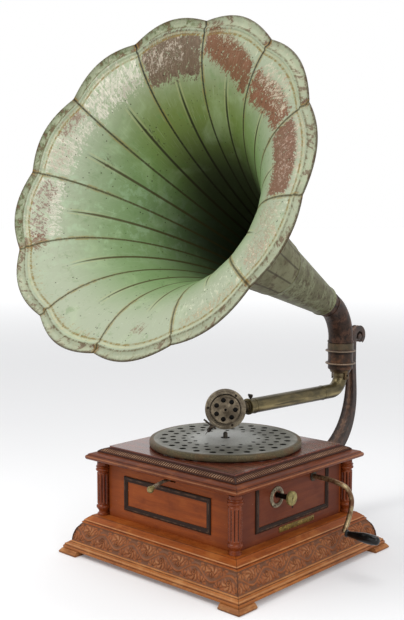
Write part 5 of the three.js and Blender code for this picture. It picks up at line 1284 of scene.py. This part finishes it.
def scrollwork(u, v):
    """Carved leaves and scrolls, 0 to 1: u runs in millimetres along the frieze, v from 0 to 1 up it."""
    pitch, high = 34.0, 31.0
    cell = np.floor(u / pitch)
    flip = np.where(cell % 2 == 0, 1.0, -1.0)
    x = u - (cell + 0.5) * pitch
    y = (v - 0.5) * high
    stem = np.exp(-(((y - flip * 8.5 * np.cos(math.pi * x / pitch)) / 1.5) ** 2)) * 0.8
    # A curl with long curved leaflets round it in each bend, and small leaves between two bends
    rho, phi = np.hypot(x, y + flip * 2), np.arctan2(y + flip * 2, x)
    curl = (0.5 + 0.5 * np.cos(rho * 1.7 - phi * flip)) * (rho < 4.6)
    leaflets = np.abs(np.cos(phi * 3.5 + flip * rho * 0.34)) ** 0.7 * np.clip((rho - 4.2) / 1.2, 0, 1)
    leaflets = leaflets * np.clip((15 - rho) / 4, 0, 1) * np.clip(0.75 - flip * np.sin(phi), 0, 1)
    height = np.maximum(stem, np.maximum(curl, leaflets))
    fx = np.abs(x) - pitch / 2
    for side in (-1, 1):
        fy = y * side + 13.5
        rho2, phi2 = np.hypot(fx, fy), np.arctan2(fx, fy)
        fan = np.abs(np.cos(phi2 * 4)) ** 0.7 * np.clip((11 - rho2) / 3, 0, 1)
        height = np.maximum(height, fan * np.clip((rho2 - 1.5) / 1.5, 0, 1) * 0.8)
    margin = np.clip(v / 0.07, 0, 1) * np.clip((1 - v) / 0.07, 0, 1)
    return np.clip(height, 0, 1) * margin


def leaf_edging(u, v):
    """A row of small pointed leaves, 0 to 1."""
    pitch = 4.8
    k = (u % pitch) / pitch - 0.5
    wide = 0.46 * np.sqrt(np.clip(1 - (v - 0.1) * 0.9, 0, 1))
    leaf = np.clip(1 - np.abs(k) / np.maximum(0.05, wide), 0, 1) ** 0.5
    margin = np.clip((v - 0.12) / 0.1, 0, 1) * np.clip((0.88 - v) / 0.1, 0, 1)
    return np.clip(leaf, 0, 1) * margin


def carved(name, half, profile, first, last, steps, columns, depth, pattern):
    """A mitred moulding; the faces of its profile from first to last are cut by the pattern."""
    line = [Vector(p) for p in profile]
    rows, along, facing = [], [], []
    total = sum((line[i + 1] - line[i]).length for i in range(first, last))
    run = 0.0
    for i in range(len(line)):
        start, end = line[i], line[(i + 1) % len(line)]
        if first <= i < last:
            way = (end - start).normalized()
            count = max(2, round(steps * (end - start).length / total))
            for k in range(count):
                rows.append(start.lerp(end, k / count))
                along.append((run + (end - start).length * k / count) / total)
                facing.append(Vector((way.y, -way.x)))
            run += (end - start).length
        else:
            rows.append(start)
            along.append(1.0 if i == last else 0.0)
            facing.append(Vector((0, 0)))
    offsets, levels = np.array([p.x for p in rows]), np.array([p.y for p in rows])
    v = np.array(along)
    nx, nz = np.array([n.x for n in facing]), np.array([n.y for n in facing])
    share = np.linspace(-1, 1, columns, endpoint=False)
    places, relief = [], []
    for side in range(4):
        reach = half + offsets[None, :]
        u = share[:, None] * reach
        from_mitre = (1 - np.abs(share[:, None])) * reach
        shaped = (v > 0) * (v < 1) * (np.abs(nx) + np.abs(nz) > 0)
        cut = pattern(u + 400, np.broadcast_to(v, u.shape)) * shaped * np.clip(from_mitre / 5, 0, 1)
        sunk = np.clip(np.minimum(v, 1 - v) / 0.06, 0, 1) * np.clip(from_mitre / 2.5, 0, 1)
        push = (cut - 1) * depth * sunk
        out = reach + push * nx
        x, y, z = u, -out, levels[None, :] + push * nz
        cos, sin = math.cos(side * QUARTER), math.sin(side * QUARTER)
        places.append(np.stack([x * cos - y * sin, x * sin + y * cos, z + 0 * x], -1))
        relief.append(cut)
    return from_grid(name, np.concatenate(places), True, True, np.concatenate(relief))


class GRAMOPHONE_OT_base(bpy.types.Operator):
    """Bevelled feet, base moulding, carved frieze and ledge"""

    bl_idname = "gramophone.base"
    bl_label = "Base"

    def execute(self, context):
        s, c = mm(context.scene.case_sizes), context.scene.paint_colours
        # Lines round the mouldings: dark for painted shade in grooves and where parts meet, light for painted
        # highlights with wear on arrises
        dark, light = "2a140d", "c79566"
        square, back = (s.half, s.half), -s.inside
        feet_wood = wood("worn foot wood with a painted shade line", c, mid="a86c3e", light="cf9c68", wear=0.6, coat=0.05, rough=0.45,
                         bands=((2.2, 0.6, 0.5, dark),))
        for end in ("front", "back"):
            for side in ("left", "right"):
                node = f"foot_{end}_{side}"
                foot = bevelled(merged_copy(node), 1.1, 4, 30)
                place(foot, f"{node}_shaped", feet_wood, BODY, [node], 45)
        z = s.base
        base = ringed(raised_by(z, [
            (back, 0), (50.2, 0), (51, 0.8), (51, 3.6), (50.4, 4.6), (49.2, 5), (49, 5.6), (49.3, 6.6),
            (48.7, 7.8), (47.2, 8.4), (46, 8.8), (45.4, 9.7), (44, 10.2), (43.4, 10.6), (43.2, 11.4),
            (42, 12), (40.6, 12.5), (back, 12.5),
        ]), 4, square, loop=True)
        bevelled(base, 0.3, 2, 25)
        base_wood = wood("base moulding wood", c, mid="a6632f", light="c8905a", dark="6e3b1e", wear=0.5,
                         coat=0.1,
                         bands=((z + 5.2, 0.5, 0.7, dark), (z + 10.8, 0.5, 0.75, dark),
                                (z + 7.8, 0.7, 0.5, light), (z + 12, 0.4, 0.4, light)))
        place(base, "base_shaped", base_wood, BODY, ["base_moulding"], 25, home())
        z = s.frieze
        frieze = carved("frieze", s.half, raised_by(z, [
            (back, 0), (40.5, 0), (40.3, 3), (39.3, 9), (37.8, 14), (36.5, 17.5), (34.6, 21.4), (32, 24.5),
            (28, 29.5), (back, 29.5),
        ]), 1, 8, 30, 620, 2.3, scrollwork)
        tidy(frieze)
        # The frieze's ground is dusty with painted shade in its hollows, the tops of its carving painted
        # highlights
        carving = wood("carved frieze wood", c, mid="925430", light="b07446", dark="663821", wear=0.4,
                       rough=0.42, raised=("75503b", "a06d49"), bands=((z + 0.5, 0.5, 0.5, dark),))
        place(frieze, "frieze_carving", carving, BODY, ["carved_frieze"], 40, home())
        z = s.ledge
        ledge = ringed(raised_by(z, [
            (back, 0), (27.3, 0), (28.3, 0.8), (28.3, 2.4), (27.5, 3.3), (26.2, 3.5), (25.9, 4.2), (26, 5.2),
            (25.2, 6.2), (23.6, 7.4), (21.4, 9.2), (19.2, 10.9), (17.5, 12), (16.8, 12.9), (15.2, 13.6),
            (13, 14.5), (back, 14.5),
        ]), 4, square, loop=True)
        bevelled(ledge, 0.3, 2, 25)
        ledge_wood = wood("ledge wood", c, mid="954b1c", light="b97439", dark="602d13", wear=0.45,
                          bands=((z + 3.9, 0.5, 0.8, dark), (z + 0.6, 0.7, 0.4, light),
                                 (z + 5.8, 0.6, 0.6, light), (z + 12.9, 0.4, 0.6, dark)))
        place(ledge, "ledge_shaped", ledge_wood, BODY, ["ledge_moulding"], 25, home())
        return {"FINISHED"}


class GRAMOPHONE_OT_case(bpy.types.Operator):
    """Walls, panel frames, cornice, carved strip, top board and the bare plate"""

    bl_idname = "gramophone.case"
    bl_label = "Case"

    def execute(self, context):
        s, c = mm(context.scene.case_sizes), context.scene.paint_colours
        # Dark is painted shade in the grooves of the cornice and the strip
        dark, square = "24110b", (s.half, s.half)
        front = wood("front wall wood", c, mid="90461b", light="aa5e29", dark="6b3014", mitre=False,
                     grain="x", wear=0.25, figured=0.6)
        # A small hole in each side wall is painted as a dark disc of shade
        hole = (-1.5, 104, 2.0, "120a07")
        sides = wood("side wall wood", c, mid="6f3722", light="874c2f", dark="512518", mitre=False, grain="y",
                     wear=0.2, figured=0.6, marks=(hole,))
        for node, finish in (("case_front", front), ("case_back", front), ("case_left", sides),
                             ("case_right", sides), ("floor_board", front)):
            paint(bpy.data.objects[node], finish)
        f = Finish("ebonised frame", Coat_Weight=0.04, Coat_Roughness=0.2, Specular_IOR_Level=0.1)
        rub = f.noise(12, 4, 0.65)
        # The crest of each frame is lighter brown, black worn through and a painted highlight
        inner_edge = abs(f.x).most(abs(f.y)).ramp(144.6, 145.0) * rub.ramp(0.42, 0.6)
        tone = f.mix(inner_edge * 0.35, c.ebony, "7a5c46")
        ebonised = f.done(tone, rub * 0.25 + 0.2, rub * 0.1, 0.4)
        width, lift, low = 8.5, 3.2, 82
        for node, high, spin in (("front", 139, 0), ("right", 163, QUARTER), ("left", 163, -QUARTER)):
            half = (high - low) / 2
            ring = ringed([
                (-width, 0), (0, 0), (0, 1.4), (-0.7, 2.2), (-1.6, 2.5), (-2.3, 3.0), (-3.2, lift),
                (-4.1, 3.0), (-5.2, 2.0), (-6.4, 1.5), (-7.6, 1.5), (-width, 1.1),
            ], 4, (s.frame, half), loop=True)
            bevelled(ring, 0.2, 2, 30)
            moved(ring, about("Z", spin) @ shift(0, -s.half, low + half) @ about("X", QUARTER))
            if node != "front":
                cut_by(ring, box(-200, 200, -200, 200, s.cornice - 0.02, 260))
            place(ring, f"frame_{node}", ebonised, BODY, [f"panel_frame_{node}"], 35, home())
        z = s.cornice
        cornice = ringed(raised_by(z, [
            (-s.inside, 0), (6, 0), (11, 0.9), (15.5, 2.2), (19.5, 3.4), (22, 4.4), (23.2, 5.6), (23.7, 7.4),
            (23.7, 9), (23.2, 10.4), (22.2, 11.3), (21, 11.8), (20.4, 12.6), (19.8, 13.6), (17.6, 14.4),
            (13.4, 15.4), (9.5, 16.5), (-s.inside, 16.5),
        ]), 4, square, loop=True)
        bevelled(cornice, 0.25, 2, 25)
        # Painted shadow under the cornice and in its groove, and a painted highlight on its rounded front
        cornice_wood = wood("cornice wood", c, mid="6d3319", light="a96339", dark="421b0e", rough=0.28,
                            bands=((z + 12.2, 0.5, 0.8, dark), (z + 1.4, 2.2, 0.6, dark),
                                   (z + 9.4, 0.9, 0.4, "c08a62")))
        place(cornice, "cornice_shaped", cornice_wood, BODY, ["cornice"], 25, home())
        z = s.board
        strip = carved("strip", s.half, raised_by(z, [
            (-5.2, 0), (9, 0), (9, 1.6), (7.4, 2.9), (4.6, 4.6), (0.2, 6.2), (-3.6, 7.2), (-5.2, 7.6),
        ]), 2, 6, 12, 1100, 1.2, leaf_edging)
        tidy(strip)
        # The strip's beads are painted highlights over painted shade in the ground, with a line of painted
        # shade along its outer edge
        strip_wood = wood("carved strip wood", c, mid="6b432e", light="8d6547", wear=0.4, coat=0.05,
                          rough=0.4, raised=("3a231b", "b59679"), bands=((z + 1.4, 0.5, 0.6, dark),))
        place(strip, "strip_carving", strip_wood, BODY, ["carved_strip"], 40, home())
        top = Finish("top board wood", Coat_Weight=0.35, Coat_Roughness=0.08, Specular_IOR_Level=0.3)
        figure, pores = top.noise((120, 9, 9), 4, 0.6, 0.5), top.noise((40, 2.6, 2.6), 2, 0.5)
        tone = top.mix(figure.ramp(0.36, 0.66), "4a2218", "7a3d2a")
        tone = top.mix(pores.ramp(0.45, 0.75) * 0.12, tone, "915039")
        reach = abs(top.x).most(abs(top.y))
        tone = top.mix(reach.band(126.6, 128.2, 0.4) * 0.85, tone, "170b07")
        tone = top.mix(reach.band(128.9, 130, 0.4) * 0.35, tone, "b58a6b")
        # Painted shadow: the board is near black under the turntable
        turntable_shadow = top.spindle_square().ramp(123 * 123, 119 * 119)
        top.put("Base Color", top.mix(turntable_shadow, tone, "060505"))
        top.put("Roughness", figure * 0.16 + 0.16)
        paint(bpy.data.objects["motor_board"], top.material)
        plate = box(s.half, s.half + 1, -36, 56, 70.4, 79, 0.35, 2)
        pins = []
        for y in (-32.6, 52.6):
            pin = ringed([(0, 0), (1.2, 0), (1.2, 0.5), (0.8, 0.8), (0, 0.9)], 18)
            pins.append(moved(pin, shift(s.half + 0.9, y, 74.7) @ about("Y", QUARTER)))
        tarnish = metal("tarnished plate", "6c5828", "9d8443", 0.34, 0.5, 6, "3e2c17", 0.4)
        place(joined(plate, *pins), "plate_bare", tarnish, BODY, ["name_plate"], 35, home())
        return {"FINISHED"}


class GRAMOPHONE_OT_columns(bpy.types.Operator):
    """Four turned and fluted corner columns"""

    bl_idname = "gramophone.columns"
    bl_label = "Columns"

    def execute(self, context):
        s = mm(context.scene.case_sizes)
        z, flute_low, flute_high, flutes = s.wall, 20, 71, 10
        shaft = [(10.4, flute_low + (flute_high - flute_low) * k / 24) for k in range(25)]
        model = ringed(raised_by(z, [
            (0, 0), (9.6, 0), (10, 0.5), (10, 2.6), (9.4, 3.2), (7.9, 4.4), (7.6, 6), (8.6, 8.4),
            (10.4, 10.8), (11.5, 12.4), (11.8, 14.2), (11.4, 16), (10, 17.2), (9.4, 17.8), (9.4, 18.6),
            (9.9, 19.2),
        ] + shaft + [
            (9.9, 72), (9.4, 72.6), (9.6, 74), (11.4, 75.4), (12.2, 76.6), (12.2, 78), (11.5, 79.2),
            (10.6, 80), (11.2, 81), (12, 82), (11.4, 83.4), (10.2, 84.4), (10, 89.4), (0, 90),
        ]), 120)
        for vertex in model.data.vertices:
            height = vertex.co.z / MM - z
            if flute_low + 0.1 < height < flute_high - 0.1:
                angle = math.atan2(vertex.co.y, vertex.co.x)
                deep = min(1, (height - flute_low) / 2.4, (flute_high - height) / 2.4)
                keep = 1 - 0.17 * deep * (1 - abs(math.cos(flutes / 2 * angle))) ** 0.9
                vertex.co.x *= keep
                vertex.co.y *= keep
        f = Finish("column wood", Coat_Weight=0.12, Coat_Roughness=0.14, Specular_IOR_Level=0.15)
        figure, fine = f.noise((14, 14, 60), 3, 0.6), f.noise(3, 3, 0.6)
        tone = f.mix(figure.ramp(0.36, 0.66), "61270f", "7c3a19")
        tone = f.mix(fine.ramp(0.58, 0.76) * 0.2, tone, "a5673f")
        # Painted shade: the flutes of each shaft are dark in their grooves
        dx, dy = abs(f.x) - s.column, abs(f.y) - s.column
        groove = (dx * dx + dy * dy).ramp(9.8**2, 8.9**2) * f.z.band(z + 20.5, z + 70.5, 0.5)
        tone = f.mix(groove * 0.8, tone, "260d07")
        finish = f.done(tone, fine * 0.15 + 0.2, fine * 0.06, 0.5)
        for end, y in (("front", -1), ("back", 1)):
            for side, x in (("left", -1), ("right", 1)):
                # A post fills the notch of the walls behind the column
                (x0, x1), (y0, y1) = sorted((-12.2 * x, -5 * x)), sorted((-12.2 * y, -5 * y))
                piece = joined(copied(model), box(x0, x1, y0, y1, z + 0.1, s.cornice - 0.1))
                node, spot = f"column_{end}_{side}", shift(x * s.column, y * s.column)
                place(piece, f"{node}_turned", finish, BODY, [node], 38, home() @ spot)
        bpy.data.objects.remove(model)
        return {"FINISHED"}


# Crank and controls


class GRAMOPHONE_OT_crank(bpy.types.Operator):
    """Winding crank with its bush and its turned handle"""

    bl_idname = "gramophone.crank"
    bl_label = "Crank"

    def execute(self, context):
        y, z = 53, 143.5
        knees = [(150, 0, 0), (176, 0, -0.6), (190, 0, -2.5), (199.5, 1.4, -5.4), (205, 5, -11),
                 (207.2, 10.5, -21), (207.5, 14, -33), (206.4, 12.6, -48), (205.2, 7.6, -63), (205, 1, -73),
                 (205, -3, -79.5)]
        lead = pipe(curved([(out, y + side, z + up) for out, side, up in knees], 5), 4, 10)
        f = Finish("worn nickel", Specular_IOR_Level=0.3)
        cloud, fine = f.noise((12, 12, 16), 4, 0.6), f.noise((2, 2, 3), 3, 0.6)
        tone = f.mix(cloud.ramp(0.38, 0.62), "6a4a34", "a08e6b")
        tone = f.mix(fine.ramp(0.5, 0.72) * 0.5, tone, "37271c")
        nickel = f.done(tone, fine * 0.2 + 0.22, fine * 0.1, 0.5, cloud * 0.2 + 0.6)
        # The measured rod keeps its part inside the case; the bar takes over outside
        inner = merged_copy("crank_rod")
        edit(inner)
        outside = home() @ Vector((152 * MM, 0, 0))
        bpy.ops.mesh.bisect(plane_co=outside, plane_no=(1, 0, 0), use_fill=True, clear_outer=True)
        leave()
        whole = joined(moved(lead, home()), inner)
        place(whole, "crank_bar", nickel, "crank", ["crank_rod"], 40)
        dark = metal("bush metal", "2c241e", "564b3c", 0.38, 0.6, 6)
        place(merged_copy("crank_bush"), "bush_turned", dark, BODY, ["crank_bush"], 35)
        swell = curved([(4.6, 5.1, 0), (4.9, 9.7, 0), (6.2, 19.7, 0), (7.7, 30.7, 0), (8.2, 39.7, 0),
                        (7.9, 48.7, 0), (7, 54.7, 0)], 4)
        handle = ringed(raised_by(209.3, [
            (0, 0), (4.2, 0), (5.8, 0.7), (6.0, 2.1), (5.2, 3.3), (4.6, 5.1),
        ] + [(p[0], p[1]) for p in swell[1:]] + [(6.6, 56.7), (5.2, 58.7), (3, 59.8), (0, 60)]), 56)
        moved(handle, shift(0, 50, 64) @ about("Y", QUARTER))
        f = Finish("black lacquered wood", Coat_Weight=0.4, Coat_Roughness=0.04, Specular_IOR_Level=0.15)
        rub = f.noise(10, 4, 0.65)
        black = f.done(f.mix(rub.ramp(0.5, 0.75), "030304", "0b0a0a"), rub * 0.2 + 0.3, rub * 0.04, 0.4)
        place(handle, "handle_turned", black, "crank_grip", ["crank_handle"], 35, home())
        return {"FINISHED"}


class GRAMOPHONE_OT_controls(bpy.types.Operator):
    """Speed knob on its rose, and the brake lever"""

    bl_idname = "gramophone.controls"
    bl_label = "Controls"

    def execute(self, context):
        s = mm(context.scene.case_sizes)
        low = shift(s.half, -42.5, 129.2) @ about("Y", QUARTER)
        rose = ringed([(10.4, 0), (16.6, 0), (17, 0.5), (16.4, 1.6), (15.2, 2), (12.4, 2), (11.6, 1.4),
                       (10.9, 1.9), (10.4, 1.6)], 64, loop=True)
        pale = metal("rose brass", "807561", "a69a80", 0.34, 0.6, 7, "4b4030", 0.4)
        place(rose, "rose_turned", pale, BODY, ["speed_rose"], 30, home() @ low)
        screws = []
        for angle in (90, 210, 330):
            screw = ringed([(0, 1.2), (1.3, 1.2), (1.3, 2.1), (1, 2.4), (0, 2.5)], 18)
            screws.append(moved(screw, shift(*polar(14, math.radians(angle)))))
        dark = metal("dark rose screws", "2c231b", "51453a", 0.4, 0.6, 5)
        place(joined(*screws), "rose_screws", dark, BODY, (), 30, home() @ low)
        f = Finish("knob brass on a dark stem", Specular_IOR_Level=0.2)
        fine, cloud = f.noise(3, 3, 0.6), f.noise(9, 3, 0.6)
        tone = f.mix(cloud.ramp(0.36, 0.66), "7a6f45", "a89a63")
        tone = f.mix(fine.ramp(0.5, 0.75) * 0.4, tone, "3f3724")
        tone = f.mix(f.x.ramp(168.6, 167.6), tone, "17120f")
        olive = f.done(tone, fine * 0.2 + 0.28, fine * 0.1, 0.5, cloud * 0.2 + 0.45)
        knob = bevelled(merged_copy("speed_knob"), 0.5, 2, 40)
        place(knob, "knob_turned", olive, "knob", ["speed_knob"], 35)
        x, level = 7.5, s.cornice - 3.6
        route = [(x, -143, level), (x, -156, level), (x, -170, level - 3), (x, -182, level - 6.4)]
        sheath = pipe(route, 2.75, 8, [0.9, 0.95, 1.1, 1.2])
        acorn = ringed([(0, 0), (3.4, 0), (4.2, 0.8), (4.4, 2), (5.2, 3), (5.6, 5), (5.2, 7.4), (4, 9),
                        (2.4, 10), (0, 10.4)], 40)
        moved(acorn, shift(x, -178.6, level - 6) @ about("X", math.radians(102)))
        lever = joined(merged_copy("brake_lever"), moved(sheath, home()), moved(acorn, home()))
        f = Finish("brake steel with a brass end", Specular_IOR_Level=0.3)
        fine, cloud = f.noise(3, 3, 0.6), f.noise(9, 3, 0.6)
        tone = f.mix(cloud.ramp(0.36, 0.66), "6b5d4c", "a29480")
        tone = f.mix(f.y.ramp(-176, -180), tone, f.mix(cloud.ramp(0.4, 0.62), "74673f", "9d8f5e"))
        tone = f.mix(fine.ramp(0.5, 0.75) * 0.4, tone, "3b3022")
        steel = f.done(tone, fine * 0.2 + 0.3, fine * 0.1, 0.5, cloud * 0.2 + 0.4)
        place(lever, "brake_bar", steel, "brake", ["brake_lever"], 40)
        return {"FINISHED"}


class GRAMOPHONE_OT_works(bpy.types.Operator):
    """Finishes for the spring motor inside the case"""

    bl_idname = "gramophone.works"
    bl_label = "Works"

    def execute(self, context):
        grey = metal("works steel", "6a6660", "98948b", 0.34, 0.85, 14, "4d3b2b", 0.36)
        spring = metal("blued spring", "3c434e", "6b7480", 0.28, 0.9, 10)
        brass = metal("works brass", "8d7338", "b79a58", 0.3, 0.85, 12, "55431f", 0.4)
        cast = metal("works casting", "3a3632", "57524b", 0.5, 0.6, 16)
        pad = metal("leather and steel", "5b4a3a", "7a6650", 0.6, 0.2, 7)
        finishes = {
            "motor_top_plate": cast, "motor_bottom_plate": cast, "spring_barrel": grey, "mainspring": spring,
            "winding_arbor": grey, "winding_wheel": grey, "ratchet_pawl": grey, "intermediate_wheel": brass,
            "worm_wheel": brass, "governor_shaft": grey, "governor_disc": brass, "governor_weight_1": brass,
            "governor_weight_2": brass, "governor_weight_3": brass, "speed_lever": pad,
        }
        for node, finish in finishes.items():
            paint(bpy.data.objects[node], finish)
        return {"FINISHED"}


# Stage


class GRAMOPHONE_OT_stage(bpy.types.Operator):
    """White floor, soft lights and the camera at the photograph's angle"""

    bl_idname = "gramophone.stage"
    bl_label = "Stage"

    def execute(self, context):
        scene = context.scene
        where = middle()
        fresh()
        bpy.ops.mesh.primitive_plane_add(size=120, location=(0, 0, 0))
        floor = bpy.context.object
        floor.name = "floor"
        f = Finish("white floor", Roughness=0.9, Specular_IOR_Level=0.1, Emission_Strength=1.0)
        wide = f.noise(900, 1, 0.4)
        away = f.spindle_square().root()
        # How far a place lies behind the spindle, seen from the camera
        behind = f.y * 0.735 - f.x * 0.678
        near = f.mix(wide, "ebebec", "e5e5e6")
        f.put("Base Color", f.mix(behind.ramp(-200, 1100), near, "dadadb"))
        far = f.mix(away.ramp(700, 6500), "646465", "cbcbcb")
        f.put("Emission Color", f.mix(seen_by_camera(f.tree), (0, 0, 0), far))
        floor.data.materials.append(f.material)

        def lamp(name, spot, aim, size, power, tone):
            data = bpy.data.lights.new(name, "AREA")
            data.shape, data.size, data.energy, data.color = "DISK", size, power, tone
            lamp = bpy.data.objects.new(name, data)
            scene.collection.objects.link(lamp)
            lamp.location = Vector(spot) + where
            lamp.rotation_euler = (Vector(aim) - Vector(spot)).to_track_quat("-Z", "Y").to_euler()

        lamp("key", (-0.7, -1.5, 2.2), (0, 0, 0.35), 1.6, 34, (1.0, 0.985, 0.96))
        lamp("fill", (2.2, -0.9, 1.5), (0, 0, 0.3), 1.8, 20, (0.97, 0.985, 1.0))
        lamp("top", (0.2, 0.4, 2.6), (0, 0, 0.3), 1.8, 16, (1, 1, 1))

        world = bpy.data.worlds.new("studio")
        scene.world = world
        world.use_nodes = True
        tree = world.node_tree
        tree.nodes.clear()
        soft, white = tree.nodes.new("ShaderNodeBackground"), tree.nodes.new("ShaderNodeBackground")
        for ground, tone, strength in ((soft, (0.98, 0.99, 1.0), 0.62), (white, (1, 1, 1), 1.0)):
            feed(tree, ground.inputs["Color"], tone)
            feed(tree, ground.inputs["Strength"], strength)
        blend = tree.nodes.new("ShaderNodeMixShader")
        out = tree.nodes.new("ShaderNodeOutputWorld")
        feed(tree, blend.inputs[0], seen_by_camera(tree))
        tree.links.new(soft.outputs[0], blend.inputs[1])
        tree.links.new(white.outputs[0], blend.inputs[2])
        tree.links.new(blend.outputs[0], out.inputs[0])

        data = bpy.data.cameras.new("camera")
        data.lens, data.sensor_width = 55.9, 36
        data.shift_x, data.shift_y = 0.0106, 0.0126
        data.clip_start, data.clip_end = 0.01, 60
        camera = bpy.data.objects.new("camera", data)
        scene.collection.objects.link(camera)
        camera.location = Vector((1.036, -1.197, 0.555)) + where
        camera.rotation_euler = (math.radians(84.22), 0, math.radians(42.69))
        scene.camera = camera
        scene.view_settings.view_transform = "Standard"
        return {"FINISHED"}


# Panel and registration

STEPS = (
    "bell", "neck", "bracket", "tone_arm", "sound_box", "turntable", "base", "case", "columns", "crank",
    "controls", "works", "stage",
)


class GRAMOPHONE_PT_panel(bpy.types.Panel):
    """Lists the pieces of the gramophone"""

    bl_idname = "GRAMOPHONE_PT_panel"
    bl_label = "Horn gramophone"
    bl_space_type = "VIEW_3D"
    bl_region_type = "UI"
    bl_category = "Gramophone"

    def draw(self, context):
        column = self.layout.column(align=True)
        for step in STEPS:
            column.operator(f"gramophone.{step}")
        for key, group in GROUPS.items():
            section = self.layout.box()
            section.label(text=key.replace("_", " ").capitalize())
            for name in group.__annotations__:
                section.prop(getattr(context.scene, key), name)


GROUPS = {
    "horn_sizes": HornSizes, "case_sizes": CaseSizes, "turntable_sizes": TurntableSizes,
    "arm_sizes": ArmSizes, "paint_colours": PaintColours,
}
CLASSES = (
    *GROUPS.values(), GRAMOPHONE_OT_bell, GRAMOPHONE_OT_neck, GRAMOPHONE_OT_bracket, GRAMOPHONE_OT_tone_arm,
    GRAMOPHONE_OT_sound_box, GRAMOPHONE_OT_turntable, GRAMOPHONE_OT_base, GRAMOPHONE_OT_case,
    GRAMOPHONE_OT_columns, GRAMOPHONE_OT_crank, GRAMOPHONE_OT_controls, GRAMOPHONE_OT_works,
    GRAMOPHONE_OT_stage, GRAMOPHONE_PT_panel,
)


def register():
    for item in CLASSES:
        bpy.utils.register_class(item)
    for key, group in GROUPS.items():
        setattr(bpy.types.Scene, key, bpy.props.PointerProperty(type=group))


def unregister():
    for key in GROUPS:
        delattr(bpy.types.Scene, key)
    for item in reversed(CLASSES):
        bpy.utils.unregister_class(item)


def main():
    register()
    for step in STEPS:
        getattr(bpy.ops.gramophone, step)()


if __name__ == "__main__":
    main()
